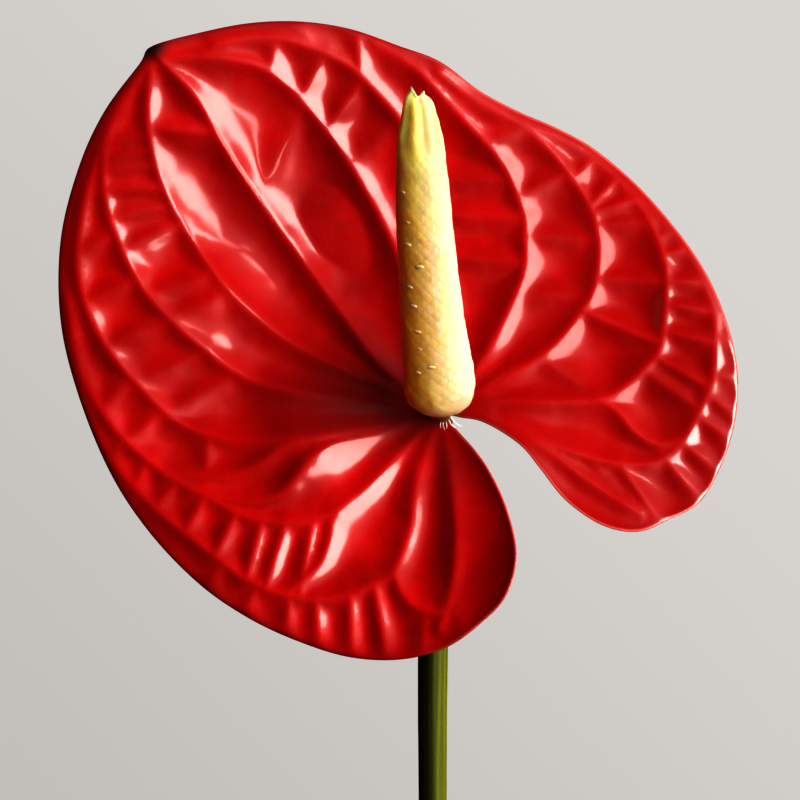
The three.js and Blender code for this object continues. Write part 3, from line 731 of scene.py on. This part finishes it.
def spadixSkin(distances, angles):
    look = spadixLook
    middles, along, aside, up = framesAlong(spadixLine, distances)
    profile = curvePoints(look["radius"], look["radiusSteps"])
    radius = np.interp(distances, profile[:, 0], profile[:, 1])
    facing = aside * np.cos(angles)[:, None] + up * np.sin(angles)[:, None]
    across = np.cross(along, facing)
    flutes = smoothStep(distances, look["flutesFrom"], look["flutesFrom"] + look["tipBlend"])
    wave = np.sin((angles - look["fluteTurn"]) * look["fluteCount"] / 2) ** 2
    column = angles * look["floretColumns"] / math.pi
    row = distances / look["floretStep"]
    edge = np.maximum(np.abs((column + row) / 2 % 1 - 0.5), np.abs((column - row) / 2 % 1 - 0.5))
    cover = smoothStep(distances, look["floretsFrom"], look["floretsFrom"] + look["floretBlend"])
    cover = cover * (1 - flutes)
    groove = smoothStep(0.5 - edge, 0, 0.5 - look["grooveFrom"])
    spread = radius * (1 - flutes * look["fluteShare"] * wave) - look["floretHeight"] * cover * (1 - groove)
    rough = middles + facing * spread[:, None]
    for scale, height in look["lumps"]:
        lumps = noiseAt(rough, scale, look["lumpSeed"])
        spread = spread + height * lumps * smoothStep(distances, *look["lumpRise"])
    footScale, footHeight = look["footLumps"]
    atFoot = smoothStep(distances, *look["footRise"]) * (1 - smoothStep(distances, *look["footFade"]))
    spread = spread + footHeight * atFoot * noiseAt(rough, footScale, look["lumpSeed"] + 1)
    sideways = np.abs(np.cos(angles))
    points = look["pointHeight"] * (1 - look["pointLean"] * np.cos(angles))
    points = points * sideways ** look["pointSharpness"]
    undercut = look["pointUndercut"] * (1 - np.sin(angles)) / 2 * (1 - sideways)
    rise = (points - undercut) * smoothStep(distances, spadixLength - look["pointReach"], spadixLength)
    places = middles + facing * spread[:, None] + along * rise[:, None]
    return places, facing, across, flutes * wave, cover * (1 - groove)


def makeSpadixBody(material):
    look = spadixLook
    rows = round(spadixLength / look["rowStep"]) + 1
    rowDistances = np.linspace(0, spadixLength, rows)
    sides = look["sides"]
    distances = np.repeat(rowDistances, sides)
    angles = np.tile(np.linspace(0, 2 * math.pi, sides, endpoint=False), rows)
    points, facing, across, flutes, grooves = spadixSkin(distances, angles)
    seat, _, _ = spatheFront(points[:sides, 0], points[:sides, 1])
    points[:sides, 2] = seat + look["seatGap"]
    tip = placeAt(spadixLine, spadixLength)
    tipRun = tip - placeAt(spadixLine, spadixLength - look["tipStep"])
    start = [*placeAt(spadixLine, 0.0)[:2], seat.mean() + look["seatGap"]]
    end = tip - tipRun / np.linalg.norm(tipRun) * look["notchDepth"]
    points = np.vstack([points, start, end])
    body = makeMeshObject("spadixSpike", points, skinFaces(rows, sides, len(points) - 2, len(points) - 1))
    addAttribute(body, "alongShare", np.concatenate([distances / spadixLength, [0, 1]]))
    addAttribute(body, "fluteGroove", np.concatenate([flutes, [0, 0]]))
    addAttribute(body, "floretGroove", np.concatenate([grooves, [0, 0]]))
    addAttribute(body, "side", np.concatenate([np.cos(angles), [0, 0]]))
    body.data.materials.append(material)
    print("spadix faces", len(body.data.polygons))
    return body


def studCarrier(name, distances, angles, sunk):
    places, facing, across, _, _ = spadixSkin(distances, angles)
    carrier = makeMeshObject(name, places - facing * sunk)
    addAttribute(carrier, "facing", facing, "FLOAT_VECTOR")
    addAttribute(carrier, "across", across, "FLOAT_VECTOR")
    addAttribute(carrier, "alongShare", distances / spadixLength)
    addAttribute(carrier, "side", np.cos(angles))
    return carrier


def growStuds(name, distances, angles, size, material):
    length, width, height = size
    carrier = studCarrier(name, distances, angles, height * spadixLook["studSunk"])
    runTree(carrier, studTree, {
        "Length": length * millimetre, "Width": width * millimetre, "Height": height * millimetre,
        "Variation": spadixLook["studVariation"], "Seed": spadixLook["studSeed"], "Material": material,
    })
    return carrier


def makeStuds(material):
    look = spadixLook
    step, columns = look["floretStep"], look["floretColumns"]
    rows = np.arange(math.ceil(look["studsFrom"] / step), look["flutesFrom"] / step)
    spots = [
        (row * step, column * math.pi / columns)
        for row, column in product(rows, range(2 * columns)) if (row + column) % 2 == 0
    ]
    distances, angles = np.array(spots).T
    return growStuds("floretStuds", distances, angles, look["studSize"], material)


# Each stigma grows where the skin's upper side comes nearest to its place as seen from above.
def makeNubs(material):
    look = spadixLook
    rows = np.arange(*look["nubRange"])
    turns = np.linspace(look["nubEdge"], math.pi - look["nubEdge"], look["nubTurns"])
    distances, angles = (grid.ravel() for grid in np.meshgrid(rows, turns, indexing="ij"))
    skin = spadixSkin(distances, angles)[0]
    picked = [np.hypot(skin[:, 0] - x, skin[:, 1] - y).argmin() for x, y in nubPlaces]
    return growStuds("stigmaNubs", distances[picked], angles[picked], look["nubSize"], material)


def sweepStalk(piece, look, material):
    runTree(piece, stalkTree, {
        "Sides": look["sides"], "Ribs": look["ribs"], "Rib height": look["ribHeight"] * millimetre,
        "Waver": look["waver"] * millimetre, "Waver scale": look["waverScale"], "Material": material,
    })


# White shreds of the torn sheath, which hang from the foot of the spadix
shredLook = {
    "paths": [
        [(0.2, 0.4, 15.4), (0.5, -0.6, 16.4), (0.6, -1.7, 16.8), (0.9, -2.6, 16.6)],
        [(0.6, 0.4, 15.4), (1.0, -0.6, 16.2), (1.3, -1.6, 16.8), (1.2, -2.3, 17.0)],
        [(1.0, 0.5, 15.4), (1.6, -0.4, 16.0), (2.2, -1.5, 16.2), (3.2, -2.3, 15.8)],
        [(-0.2, 0.4, 15.4), (0.1, -0.7, 16.6), (0.0, -1.8, 17.0), (0.2, -2.2, 16.6)],
        [(1.3, 0.5, 15.2), (2.2, -0.3, 15.6), (3.0, -1.2, 15.6), (4.4, -2.0, 15.0)],
    ],
    "pathSteps": 12,
    "step": 0.25,
    "thickness": 0.17,
    "taper": 0.8,
    "sides": 6,
    "ribs": 2.0,
    "ribHeight": 0.03,
    "waver": 0.1,
    "waverScale": 1500.0,
}


def makeShreds(material):
    look = shredLook
    points, edges, reach = [], [], []
    for path in look["paths"]:
        line = evenPoints(curvePoints(path, look["pathSteps"]), look["step"])
        first = len(points)
        points.extend(line.tolist())
        edges.extend((first + index, first + index + 1) for index in range(len(line) - 1))
        reach.extend(look["thickness"] * (1 - look["taper"] * np.linspace(0, 1, len(line)) ** 2))
    shreds = makeMeshObject("sheathShreds", points, edges=edges)
    addAttribute(shreds, "reach", np.array(reach) * millimetre)
    sweepStalk(shreds, look, material)
    return shreds


# Stem: from its cut end on the surface to the back of the spathe

stemLook = {
    "path": [
        (3, -260, 2.76), (0.6, -200, 2.9), (-0.8, -130, 3.3), (-1.4, -80, 3.7), (-1.4, -48, 4),
        (-0.8, -24, 4.3), (-0.5, -10, 4.8), (-0.4, -4, 6.2), (-0.4, -1, 8.6),
    ],
    "radius": [(0, 2.85), (180, 2.75), (215, 3), (250, 3.1), (262, 2.9)],
    "pathSteps": 40,
    "step": 1.2,
    "sides": 64,
    "ribs": 19.0,
    "ribHeight": 0.035,
    "waver": 0.16,
    "waverScale": 90.0,
    "seatFrom": -14,
    "seatGap": 0.15,
    "bladeSlope": 1.3,
}


def makeStem(material):
    look = stemLook
    line = evenPoints(curvePoints(look["path"], look["pathSteps"]), look["step"])
    distances = lengthsAlong(line)
    stem = makeMeshObject("stemStalk", line, edges=[(index, index + 1) for index in range(len(line) - 1)])
    addAttribute(stem, "reach", np.interp(distances, *zip(*look["radius"])) * millimetre)
    sweepStalk(stem, look, material)
    seatStemTop(stem)
    markStemSide(stem, line)
    return stem


def placesOf(piece):
    places = np.zeros(len(piece.data.vertices) * 3)
    piece.data.vertices.foreach_get("co", places)
    return places.reshape(-1, 3) / millimetre - np.array([*joint, 0])


# The stem's top is pressed up to the underside of the blade and never through it.
def seatStemTop(stem):
    look = stemLook
    places = placesOf(stem)
    isTop = places[:, 1] > look["seatFrom"]
    front, _, _ = spatheFront(places[isTop, 0], places[isTop, 1])
    limit = front - spatheLook["thickness"] * look["bladeSlope"] - look["seatGap"]
    places[isTop, 2] = np.minimum(places[isTop, 2], limit)
    places[:, 2] = np.maximum(places[:, 2], 0)
    stem.data.vertices.foreach_set("co", toMetres(places).ravel())
    for polygon in stem.data.polygons:
        polygon.use_smooth = len(polygon.vertices) < 5
    stem.data.update()


# How far to its right side each point lies, from -1 to 1
def markStemSide(stem, line):
    places = placesOf(stem)
    middle = np.interp(places[:, 1], line[:, 1], line[:, 0])
    addAttribute(stem, "side", (places[:, 0] - middle) / stemLook["radius"][0][1])


cutLook = {
    "rings": [0, 0.12, 0.25, 0.38, 0.5, 0.62, 0.73, 0.83, 0.91, 0.965, 1],
    "radius": 2.83,
    "sides": 64,
    "standOut": 0.06,
    "dish": 0.18,
    "bumpHeight": 0.1,
    "bumpScale": 0.7,
    "bumpSeed": 8,
}


def makeCutEnd(material):
    look = cutLook
    stemLine = curvePoints(stemLook["path"], stemLook["pathSteps"])
    _, along, aside, up = (row[0] for row in framesAlong(stemLine, np.array([frameReach])))
    start = np.array(stemLook["path"][0], float)
    turns = np.linspace(0, 2 * math.pi, look["sides"], endpoint=False)
    share, angle = (grid.ravel() for grid in np.meshgrid(look["rings"], turns, indexing="ij"))
    flat = share[:, None] * look["radius"] * (aside * np.cos(angle)[:, None] + up * np.sin(angle)[:, None])
    bumps = look["bumpHeight"] * noiseAt(flat, look["bumpScale"], look["bumpSeed"]) * (1 - share)
    depth = look["standOut"] + look["dish"] * smoothStep(share, 0, 1) + bumps
    depth = np.where(share == 1, -look["standOut"], depth)
    points = start + flat - along * depth[:, None]
    faces = skinFaces(len(look["rings"]), look["sides"])
    cut = makeMeshObject("stemCut", points, faces)
    addAttribute(cut, "coreShare", share)
    cut.data.materials.append(material)
    return cut


# Materials

def newMaterial(name):
    material = bpy.data.materials.new(name)
    material.use_nodes = True
    tree = material.node_tree
    tree.nodes.clear()
    shader = tree.nodes.new("ShaderNodeBsdfPrincipled")
    addNode(tree, "ShaderNodeOutputMaterial", {"Surface": shader.outputs["BSDF"]})
    return material, tree, shader


def savedShade(tree, name):
    return addNode(tree, "ShaderNodeAttribute", attribute_name=name).outputs["Fac"]


def rangeOf(tree, value, fromLow, fromHigh, toLow=0.0, toHigh=1.0):
    node = addNode(tree, "ShaderNodeMapRange", {
        "Value": value, "From Min": fromLow, "From Max": fromHigh, "To Min": toLow, "To Max": toHigh,
    }, interpolation_type="SMOOTHSTEP")
    return node.outputs["Result"]


def mixOf(tree, amount, first, second):
    node = addNode(tree, "ShaderNodeMix", {0: amount, 6: first, 7: second}, data_type="RGBA")
    return node.outputs[2]


# Lays the paint over the colour, as thickly as the band says for the value. A band holds where it starts and
# ends, then the amounts there, which are 0 and 1 if they are left out.
def paintOver(tree, colour, paint, value, band):
    return mixOf(tree, rangeOf(tree, value, *band), colour, paint)


# Noise drawn out along the flower, whose scale differs along X, Y and Z
def streaksOf(tree, vector, scales, detail):
    stretched = addNode(tree, "ShaderNodeVectorMath", {0: vector, 1: scales}, operation="MULTIPLY")
    node = addNode(tree, "ShaderNodeTexNoise", {
        "Vector": stretched.outputs[0], "Scale": 1.0, "Detail": detail,
    })
    return node.outputs["Fac"]


def bumpOf(tree, height, strength, distance):
    bump = addNode(tree, "ShaderNodeBump", {"Height": height, "Strength": strength, "Distance": distance})
    return bump.outputs["Normal"]


def coordinatesOf(tree):
    return addNode(tree, "ShaderNodeTexCoord").outputs["Object"]


def newShadeGroup(name, inputs, output):
    group = bpy.data.node_groups.new(name, "ShaderNodeTree")
    for label, kind in inputs.items():
        group.interface.new_socket(label, in_out="INPUT", socket_type="NodeSocket" + kind)
    group.interface.new_socket(output[0], in_out="OUTPUT", socket_type="NodeSocket" + output[1])
    return group, group.nodes.new("NodeGroupInput"), group.nodes.new("NodeGroupOutput")


# Soft-edged patches between 0 and 1
def makePatchGroup():
    inputs = {"Vector": "Vector", "Scale": "Float", "Low": "Float", "High": "Float"}
    group, given, result = newShadeGroup("softPatches", inputs, ("Amount", "Float"))
    cloud = addNode(group, "ShaderNodeTexNoise", {
        "Vector": given.outputs["Vector"], "Scale": given.outputs["Scale"], "Detail": 3.0, "Roughness": 0.55,
    })
    amount = rangeOf(group, cloud.outputs["Fac"], given.outputs["Low"], given.outputs["High"])
    group.links.new(amount, result.inputs["Amount"])
    return group


skinLook = {
    "coarseShare": 0.3,
    "cellHeight": -0.3,
    "relief": 0.0004,
}


# Fine living skin: rounded cells with a little larger unevenness under them
def makeSkinGroup():
    look = skinLook
    inputs = {"Vector": "Vector", "Scale": "Float", "Strength": "Float"}
    group, given, result = newShadeGroup("livingSkin", inputs, ("Normal", "Vector"))
    cells = addNode(group, "ShaderNodeTexVoronoi", {
        "Vector": given.outputs["Vector"], "Scale": given.outputs["Scale"],
    }, feature="SMOOTH_F1")
    coarse = mathOf(group, "MULTIPLY", given.outputs["Scale"], look["coarseShare"])
    uneven = addNode(group, "ShaderNodeTexNoise", {
        "Vector": given.outputs["Vector"], "Scale": coarse, "Detail": 3.0,
    })
    rounded = mathOf(group, "MULTIPLY", cells.outputs["Distance"], look["cellHeight"])
    height = mathOf(group, "ADD", rounded, uneven.outputs["Fac"])
    normal = bumpOf(group, height, given.outputs["Strength"], look["relief"])
    group.links.new(normal, result.inputs["Normal"])
    return group


patchGroup = makePatchGroup()
skinGroup = makeSkinGroup()


def patchesOf(tree, vector, scale, low=0.4, high=0.65):
    node = addNode(tree, "ShaderNodeGroup", node_tree=patchGroup)
    plugIn(tree, node, {"Vector": vector, "Scale": scale, "Low": low, "High": high})
    return node.outputs["Amount"]


def skinOf(tree, vector, scale, strength):
    node = addNode(tree, "ShaderNodeGroup", node_tree=skinGroup)
    plugIn(tree, node, {"Vector": vector, "Scale": scale, "Strength": strength})
    return node.outputs["Normal"]


# Bands with X in their name run across the flower, in metres, and those with Gap away from a line, in
# millimetres.
redLook = {
    "deep": (0.35, 0.0002, 0.0008, 1),
    "bright": (0.45, 0.0006, 0.001, 1),
    "crest": (0.48, 0.002, 0.0015, 1),
    # Painted shade along the left margin, where the rolled edge turns away from the light
    "margin": (0.22, 0.0, 0.0008, 1),
    # Painted shade: a darker red laid over the right half
    "right": (0.27, 0.0004, 0.0008, 1),
    "back": (0.42, 0.03, 0.028, 1),
    "backVein": (0.3, 0.05, 0.02, 1),
    # The colour of the painted shadow of the spadix near its foot
    "paintedShadow": (0.14, 0.0, 0.0004, 1),
    # Painted rim light: a pale line along the right-hand edges
    "rim": (0.62, 0.12, 0.1, 1),
    "tip": (0.02, 0.003, 0.002, 1),
    "patchScale": 55.0,
    "skinScale": 1900.0,
    "skinStrength": 0.1,
    "roughness": (0.38, 0.48),
    "roughPatches": (330.0, 0.3, 0.7),
    "gloss": 0.09,
    "backWax": 0.3,
    "waxRoughness": 0.16,
    "paintedShadowRoughness": 0.5,
    "rightShadeBandX": (0.005, 0.06, 0.0, 0.8),
    "waxX": (0.0, 0.04, 0.46, 0.24),
    "edgeWaxX": (0.046, 0.058, 0.0, 0.4),
    "crestGap": (0.5, 1.7, 0.3, 0.0),
    "marginGap": (0.2, 2.4, 0.75, 0.0),
    "marginShadeBandX": (-0.03, 0.01, 1.0, 0.3),
    "rimGap": (0.15, 0.6, 0.8, 0.0),
    "rimBandX": (0.0, 0.02),
    "backVeinGap": (0.5, 1.5, 0.8, 0.0),
    "tipGap": (0.8, 4.2, 1.0, 0.0),
}


# Wax on the blade: less to the right of the middle, more again near the right edge, less under the painted
# shadow near the joint, little on the back
def waxOf(tree, across, paintedShadow, isBack):
    look = redLook
    wax = rangeOf(tree, across, *look["waxX"])
    wax = mathOf(tree, "ADD", wax, rangeOf(tree, across, *look["edgeWaxX"]))
    wax = mathOf(tree, "MULTIPLY", wax, mathOf(tree, "SUBTRACT", 1.0, paintedShadow))
    return mathOf(tree, "MULTIPLY", wax, rangeOf(tree, isBack, 0.0, 1.0, 1.0, look["backWax"]))


def bandProduct(tree, value, band, across, acrossBand):
    return mathOf(tree, "MULTIPLY", rangeOf(tree, value, *band), rangeOf(tree, across, *acrossBand))


def makeSpatheRed():
    look = redLook
    material, tree, shader = newMaterial("spatheRed")
    vector = coordinatesOf(tree)
    across = addNode(tree, "ShaderNodeSeparateXYZ", {0: vector}).outputs["X"]
    veinGap, marginGap = savedShade(tree, "veinGap"), savedShade(tree, "marginGap")
    paintedShadow, isBack = savedShade(tree, "paintedShadow"), savedShade(tree, "back")
    front = mixOf(tree, patchesOf(tree, vector, look["patchScale"]), look["deep"], look["bright"])
    # Painted shade over the right half
    front = paintOver(tree, front, look["right"], across, look["rightShadeBandX"])
    front = paintOver(tree, front, look["crest"], veinGap, look["crestGap"])
    # Painted shade along the margin, strongest on the left side
    paintedEdgeShade = bandProduct(tree, marginGap, look["marginGap"], across, look["marginShadeBandX"])
    front = mixOf(tree, paintedEdgeShade, front, look["margin"])
    # Painted rim light along the right-hand edges
    rimLightAmount = bandProduct(tree, marginGap, look["rimGap"], across, look["rimBandX"])
    front = mixOf(tree, rimLightAmount, front, look["rim"])
    # Painted shadow of the spadix beside its foot
    front = mixOf(tree, paintedShadow, front, look["paintedShadow"])
    back = paintOver(tree, look["back"], look["backVein"], veinGap, look["backVeinGap"])
    colour = mixOf(tree, isBack, front, back)
    colour = paintOver(tree, colour, look["tip"], savedShade(tree, "tipGap"), look["tipGap"])
    uneven = patchesOf(tree, vector, *look["roughPatches"])
    roughness = rangeOf(tree, uneven, 0.0, 1.0, *look["roughness"])
    dulled = mathOf(tree, "MULTIPLY", paintedShadow, look["paintedShadowRoughness"])
    plugIn(tree, shader, {
        "Base Color": colour,
        "Roughness": mathOf(tree, "ADD", roughness, dulled),
        "Specular IOR Level": look["gloss"],
        "Coat Weight": waxOf(tree, across, paintedShadow, isBack),
        "Coat Roughness": look["waxRoughness"],
        "Normal": skinOf(tree, vector, look["skinScale"], look["skinStrength"]),
    })
    return material


# Bands with Side in their name run from the left side of the spike, -1, to its right side, 1. Those with
# Share run along it, from its foot, 0, to its tip, 1.
creamLook = {
    "cream": (0.58, 0.45, 0.28, 1),
    "gold": (0.64, 0.52, 0.26, 1),
    # Orange laid on the shaded left side of the spike: painted red bounce light from the blade
    "ripeToneAndPaintedBounce": (0.87, 0.53, 0.03, 1),
    # Pale: the tone of the lengthwise streaks, and painted light on the lit right side
    "pale": (0.61, 0.55, 0.43, 1),
    # The tip's green: this copy for the shaded side, the next for the lit side
    "green": (0.8, 0.78, 0.2, 1),
    "litGreen": (0.5, 0.46, 0.3, 1),
    "groove": (0.44, 0.46, 0.13, 1),
    "pointEnd": (0.56, 0.54, 0.3, 1),
    "net": (0.62, 0.42, 0.2, 1),
    "foot": (0.6, 0.38, 0.17, 1),
    # Painted shadow: the dark colour of the neck where it meets the blade
    "neck": (0.12, 0.02, 0.01, 1),
    "skinScale": 700.0,
    "skinStrength": 0.35,
    "patchScale": 170.0,
    "roughness": 0.5,
    "glow": 0.75,
    "glowReach": (0.008, 0.0034, 0.0007),
    "gloss": 0.1,
    "waxWeight": 0.03,
    "waxRoughness": 0.3,
    "streakScales": (600.0, 45.0, 600.0),
    "streakBand": (0.42, 0.64, 0.0, 0.45),
    "paintedBounceSide": (-0.9, 0.35, 1.0, 0.0),
    "paintedLightSide": (0.25, 0.95, 0.0, 0.9),
    "netBand": (0.2, 1.0, 0.0, 0.16),
    "litSide": (-0.6, 0.6),
    "greenShare": (0.58, 0.88, 0.0, 0.8),
    "fluteBand": (0.35, 1.0, 0.0, 0.5),
    "pointShare": (0.965, 1.0, 0.0, 0.8),
    "footShare": (0.09, 0.16, 0.7, 0.0),
    "neckShare": (0.078, 0.092, 0.9, 0.0),
}


def makeSpadixCream():
    look = creamLook
    material, tree, shader = newMaterial("spadixCream")
    vector = coordinatesOf(tree)
    share, side = savedShade(tree, "alongShare"), savedShade(tree, "side")
    streaks = streaksOf(tree, vector, look["streakScales"], 3.0)
    # Lit and shaded copies of the tip's green, mixed by side: painted light and shade
    green = mixOf(tree, rangeOf(tree, side, *look["litSide"]), look["green"], look["litGreen"])
    colour = mixOf(tree, patchesOf(tree, vector, look["patchScale"]), look["gold"], look["cream"])
    for paint, value, band in [
        (look["pale"], streaks, "streakBand"),
        # Painted red bounce light: orange on the shaded left side
        (look["ripeToneAndPaintedBounce"], side, "paintedBounceSide"),
        # Painted light: paler on the lit right side
        (look["pale"], side, "paintedLightSide"),
        (look["net"], savedShade(tree, "floretGroove"), "netBand"),
        (green, share, "greenShare"),
        (look["groove"], savedShade(tree, "fluteGroove"), "fluteBand"),
        (look["pointEnd"], share, "pointShare"),
        (look["foot"], share, "footShare"),
        # Painted shadow over the neck
        (look["neck"], share, "neckShare"),
    ]:
        colour = paintOver(tree, colour, paint, value, look[band])
    plugIn(tree, shader, {
        "Base Color": colour,
        "Roughness": look["roughness"],
        "Subsurface Weight": look["glow"],
        "Subsurface Radius": look["glowReach"],
        "Subsurface Scale": 1.0,
        "Specular IOR Level": look["gloss"],
        "Coat Weight": look["waxWeight"],
        "Coat Roughness": look["waxRoughness"],
        "Normal": skinOf(tree, vector, look["skinScale"], look["skinStrength"]),
    })
    return material


stigmaLook = {
    "ripeToneAndPaintedBounce": (0.64, 0.45, 0.18, 1),
    "fresh": (0.7, 0.54, 0.28, 1),
    "patchScale": 300.0,
    "roughness": 0.42,
    "glow": 0.3,
    "glowReach": (0.001, 0.0006, 0.0003),
}


def makeStigmaCream():
    look = stigmaLook
    material, tree, shader = newMaterial("stigmaCream")
    patches = patchesOf(tree, coordinatesOf(tree), look["patchScale"])
    plugIn(tree, shader, {
        "Base Color": mixOf(tree, patches, look["ripeToneAndPaintedBounce"], look["fresh"]),
        "Roughness": look["roughness"],
        "Subsurface Weight": look["glow"],
        "Subsurface Radius": look["glowReach"],
        "Subsurface Scale": 1.0,
    })
    return material


shredPaint = {
    "dull": (0.75, 0.7, 0.62, 1),
    "white": (0.9, 0.88, 0.84, 1),
    "patchScale": 500.0,
    "roughness": 0.55,
}


def makeShredWhite():
    look = shredPaint
    material, tree, shader = newMaterial("shredWhite")
    patches = patchesOf(tree, coordinatesOf(tree), look["patchScale"])
    colour = mixOf(tree, patches, look["dull"], look["white"])
    plugIn(tree, shader, {"Base Color": colour, "Roughness": look["roughness"]})
    return material


greenLook = {
    "dark": (0.1, 0.105, 0.002, 1),
    "light": (0.165, 0.175, 0.005, 1),
    "shaded": (0.012, 0.013, 0.0003, 1),
    "pale": (0.2, 0.2, 0.03, 1),
    "roughness": 0.55,
    "gloss": 0.05,
    "fibreScales": (1300.0, 22.0, 1300.0),
    "fibreBand": (0.38, 0.66),
    "fibreRelief": (0.25, 0.0003),
    "paleShare": (0.82, 0.97, 0.0, 0.6),
    "shadedSide": (-0.45, 0.75, 0.96, 0.0),
}


def makeStemGreen():
    look = greenLook
    material, tree, shader = newMaterial("stemGreen")
    fibres = streaksOf(tree, coordinatesOf(tree), look["fibreScales"], 4.0)
    colour = mixOf(tree, rangeOf(tree, fibres, *look["fibreBand"]), look["dark"], look["light"])
    colour = paintOver(tree, colour, look["pale"], savedShade(tree, "alongShare"), look["paleShare"])
    colour = paintOver(tree, colour, look["shaded"], savedShade(tree, "side"), look["shadedSide"])
    plugIn(tree, shader, {
        "Base Color": colour,
        "Roughness": look["roughness"],
        "Specular IOR Level": look["gloss"],
        "Normal": bumpOf(tree, fibres, *look["fibreRelief"]),
    })
    return material


pithLook = {
    "pith": (0.52, 0.56, 0.22, 1),
    "strand": (0.2, 0.23, 0.05, 1),
    "skin": (0.1, 0.13, 0.015, 1),
    "dried": (0.33, 0.26, 0.1, 1),
    "strandScale": 1700.0,
    "strandBand": (0.12, 0.34, 0.75, 0.0),
    "strandRelief": (0.5, 0.0002),
    "skinShare": (0.8, 0.98),
    "driedPatches": (400.0, 0.5, 0.75),
    "roughness": 0.45,
}


def makeCutPith():
    look = pithLook
    material, tree, shader = newMaterial("cutPith")
    vector = coordinatesOf(tree)
    strands = addNode(tree, "ShaderNodeTexVoronoi", {"Vector": vector, "Scale": look["strandScale"]})
    dots = rangeOf(tree, strands.outputs["Distance"], *look["strandBand"])
    colour = mixOf(tree, dots, look["pith"], look["strand"])
    colour = paintOver(tree, colour, look["skin"], savedShade(tree, "coreShare"), look["skinShare"])
    colour = mixOf(tree, patchesOf(tree, vector, *look["driedPatches"]), colour, look["dried"])
    plugIn(tree, shader, {
        "Base Color": colour,
        "Roughness": look["roughness"],
        "Normal": bumpOf(tree, dots, *look["strandRelief"]),
    })
    return material


# Stage, camera and light

stageLook = {
    "viewCentre": (-8, 3.4, 10),
    "cameraHeight": 1200,
    "viewWidth": 160,
    "sensorWidth": 36,
    "viewReach": 20,
    "gamma": 0.65,
    "floorSize": 4000,
    "floorLevel": -0.05,
    "floorLow": (0.662, 0.641, 0.62, 1),
    "floorHigh": (0.786, 0.763, 0.741, 1),
    "floorSlope": (-0.12, 0.22),
    "floorBounce": (0.05, 0.05, 0.05, 1),
    "roomColour": (0.1, 0.044, 0.017, 1),
    "key": {
        "turn": -3, "rise": 38, "distance": 1600, "size": (1950, 950), "power": 185, "colour": (1, 0.98, 0.9),
    },
    "window": {
        "turn": 20, "rise": 43, "distance": 1600, "size": (1800, 1700), "power": 82, "colour": (1, 1, 1),
    },
}


def makeCamera():
    look = stageLook
    x, y, level = look["viewCentre"]
    data = bpy.data.cameras.new("lookDown")
    data.sensor_width = look["sensorWidth"]
    data.lens = look["sensorWidth"] * (look["cameraHeight"] - level) / look["viewWidth"]
    data.clip_end = look["viewReach"]
    camera = bpy.data.objects.new("lookDown", data)
    camera.location = toMetres([(x, y, look["cameraHeight"])])[0]
    bpy.context.scene.collection.objects.link(camera)
    bpy.context.scene.camera = camera


# The camera sees the floor as glowing paper, lighter towards one corner: a painted gradient of light. The
# flower gets little light back from it.
def makePaleFloor():
    look = stageLook
    material = bpy.data.materials.new("floorPale")
    material.use_nodes = True
    tree = material.node_tree
    tree.nodes.clear()
    place = addNode(tree, "ShaderNodeSeparateXYZ", {0: coordinatesOf(tree)})
    slope = mathOf(tree, "ADD", place.outputs["X"], place.outputs["Y"])
    tone = rangeOf(tree, slope, *look["floorSlope"])
    colour = mixOf(tree, tone, look["floorLow"], look["floorHigh"])
    paintedLitPaper = addNode(tree, "ShaderNodeEmission", {"Color": colour})
    dark = addNode(tree, "ShaderNodeBsdfDiffuse", {"Color": look["floorBounce"]})
    path = addNode(tree, "ShaderNodeLightPath")
    mix = addNode(tree, "ShaderNodeMixShader", {
        0: path.outputs["Is Camera Ray"], 1: dark.outputs["BSDF"], 2: paintedLitPaper.outputs["Emission"],
    })
    addNode(tree, "ShaderNodeOutputMaterial", {"Surface": mix.outputs["Shader"]})
    return material


def makeFloor():
    half, level = stageLook["floorSize"] / 2, stageLook["floorLevel"]
    corners = [(x * half, y * half, level) for x, y in [(-1, -1), (1, -1), (1, 1), (-1, 1)]]
    floor = makeMeshObject("floor", corners, [(0, 1, 2, 3)], smooth=False)
    floor.data.materials.append(makePaleFloor())


def makeSoftbox(name, box):
    turn, rise = math.radians(box["turn"]), math.radians(box["rise"])
    direction = Vector((math.cos(rise) * math.cos(turn), math.cos(rise) * math.sin(turn), math.sin(rise)))
    data = bpy.data.lights.new(name, "AREA")
    data.shape = "RECTANGLE"
    data.size, data.size_y = (side * millimetre for side in box["size"])
    data.energy = box["power"]
    data.color = box["colour"]
    softbox = bpy.data.objects.new(name, data)
    target = Vector(toMetres([stageLook["viewCentre"]])[0])
    softbox.location = target + direction * box["distance"] * millimetre
    softbox.rotation_mode = "QUATERNION"
    softbox.rotation_quaternion = direction.to_track_quat("Z", "Y")
    bpy.context.scene.collection.objects.link(softbox)
    return softbox


# The key gives the highlights and the window gives the rest of the light.
def makeLights():
    key = makeSoftbox("keySoftbox", stageLook["key"])
    key.visible_diffuse = False
    window = makeSoftbox("windowSoftbox", stageLook["window"])
    window.visible_glossy = False
    world = bpy.data.worlds.new("room")
    world.use_nodes = True
    world.node_tree.nodes["Background"].inputs["Color"].default_value = stageLook["roomColour"]
    bpy.context.scene.world = world


makeCamera()
makeFloor()
makeLights()
print("stage made")


def handOver(piece, node):
    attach(piece, "root")
    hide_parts(node)


spathe = makeSpathe()
spathe.data.materials.append(makeSpatheRed())
handOver(spathe, "spathe")
print("spathe made")

cream, stigmaCream = makeSpadixCream(), makeStigmaCream()
spadixPieces = [
    makeSpadixBody(cream), makeStuds(cream), makeNubs(stigmaCream), makeShreds(makeShredWhite()),
]
for piece in spadixPieces:
    handOver(piece, "spadix")
print("spadix made")

for piece in [makeStem(makeStemGreen()), makeCutEnd(makeCutPith())]:
    handOver(piece, "stem")
print("stem made")

viewSettings = bpy.context.scene.view_settings
viewSettings.view_transform = "Standard"
viewSettings.gamma = stageLook["gamma"]
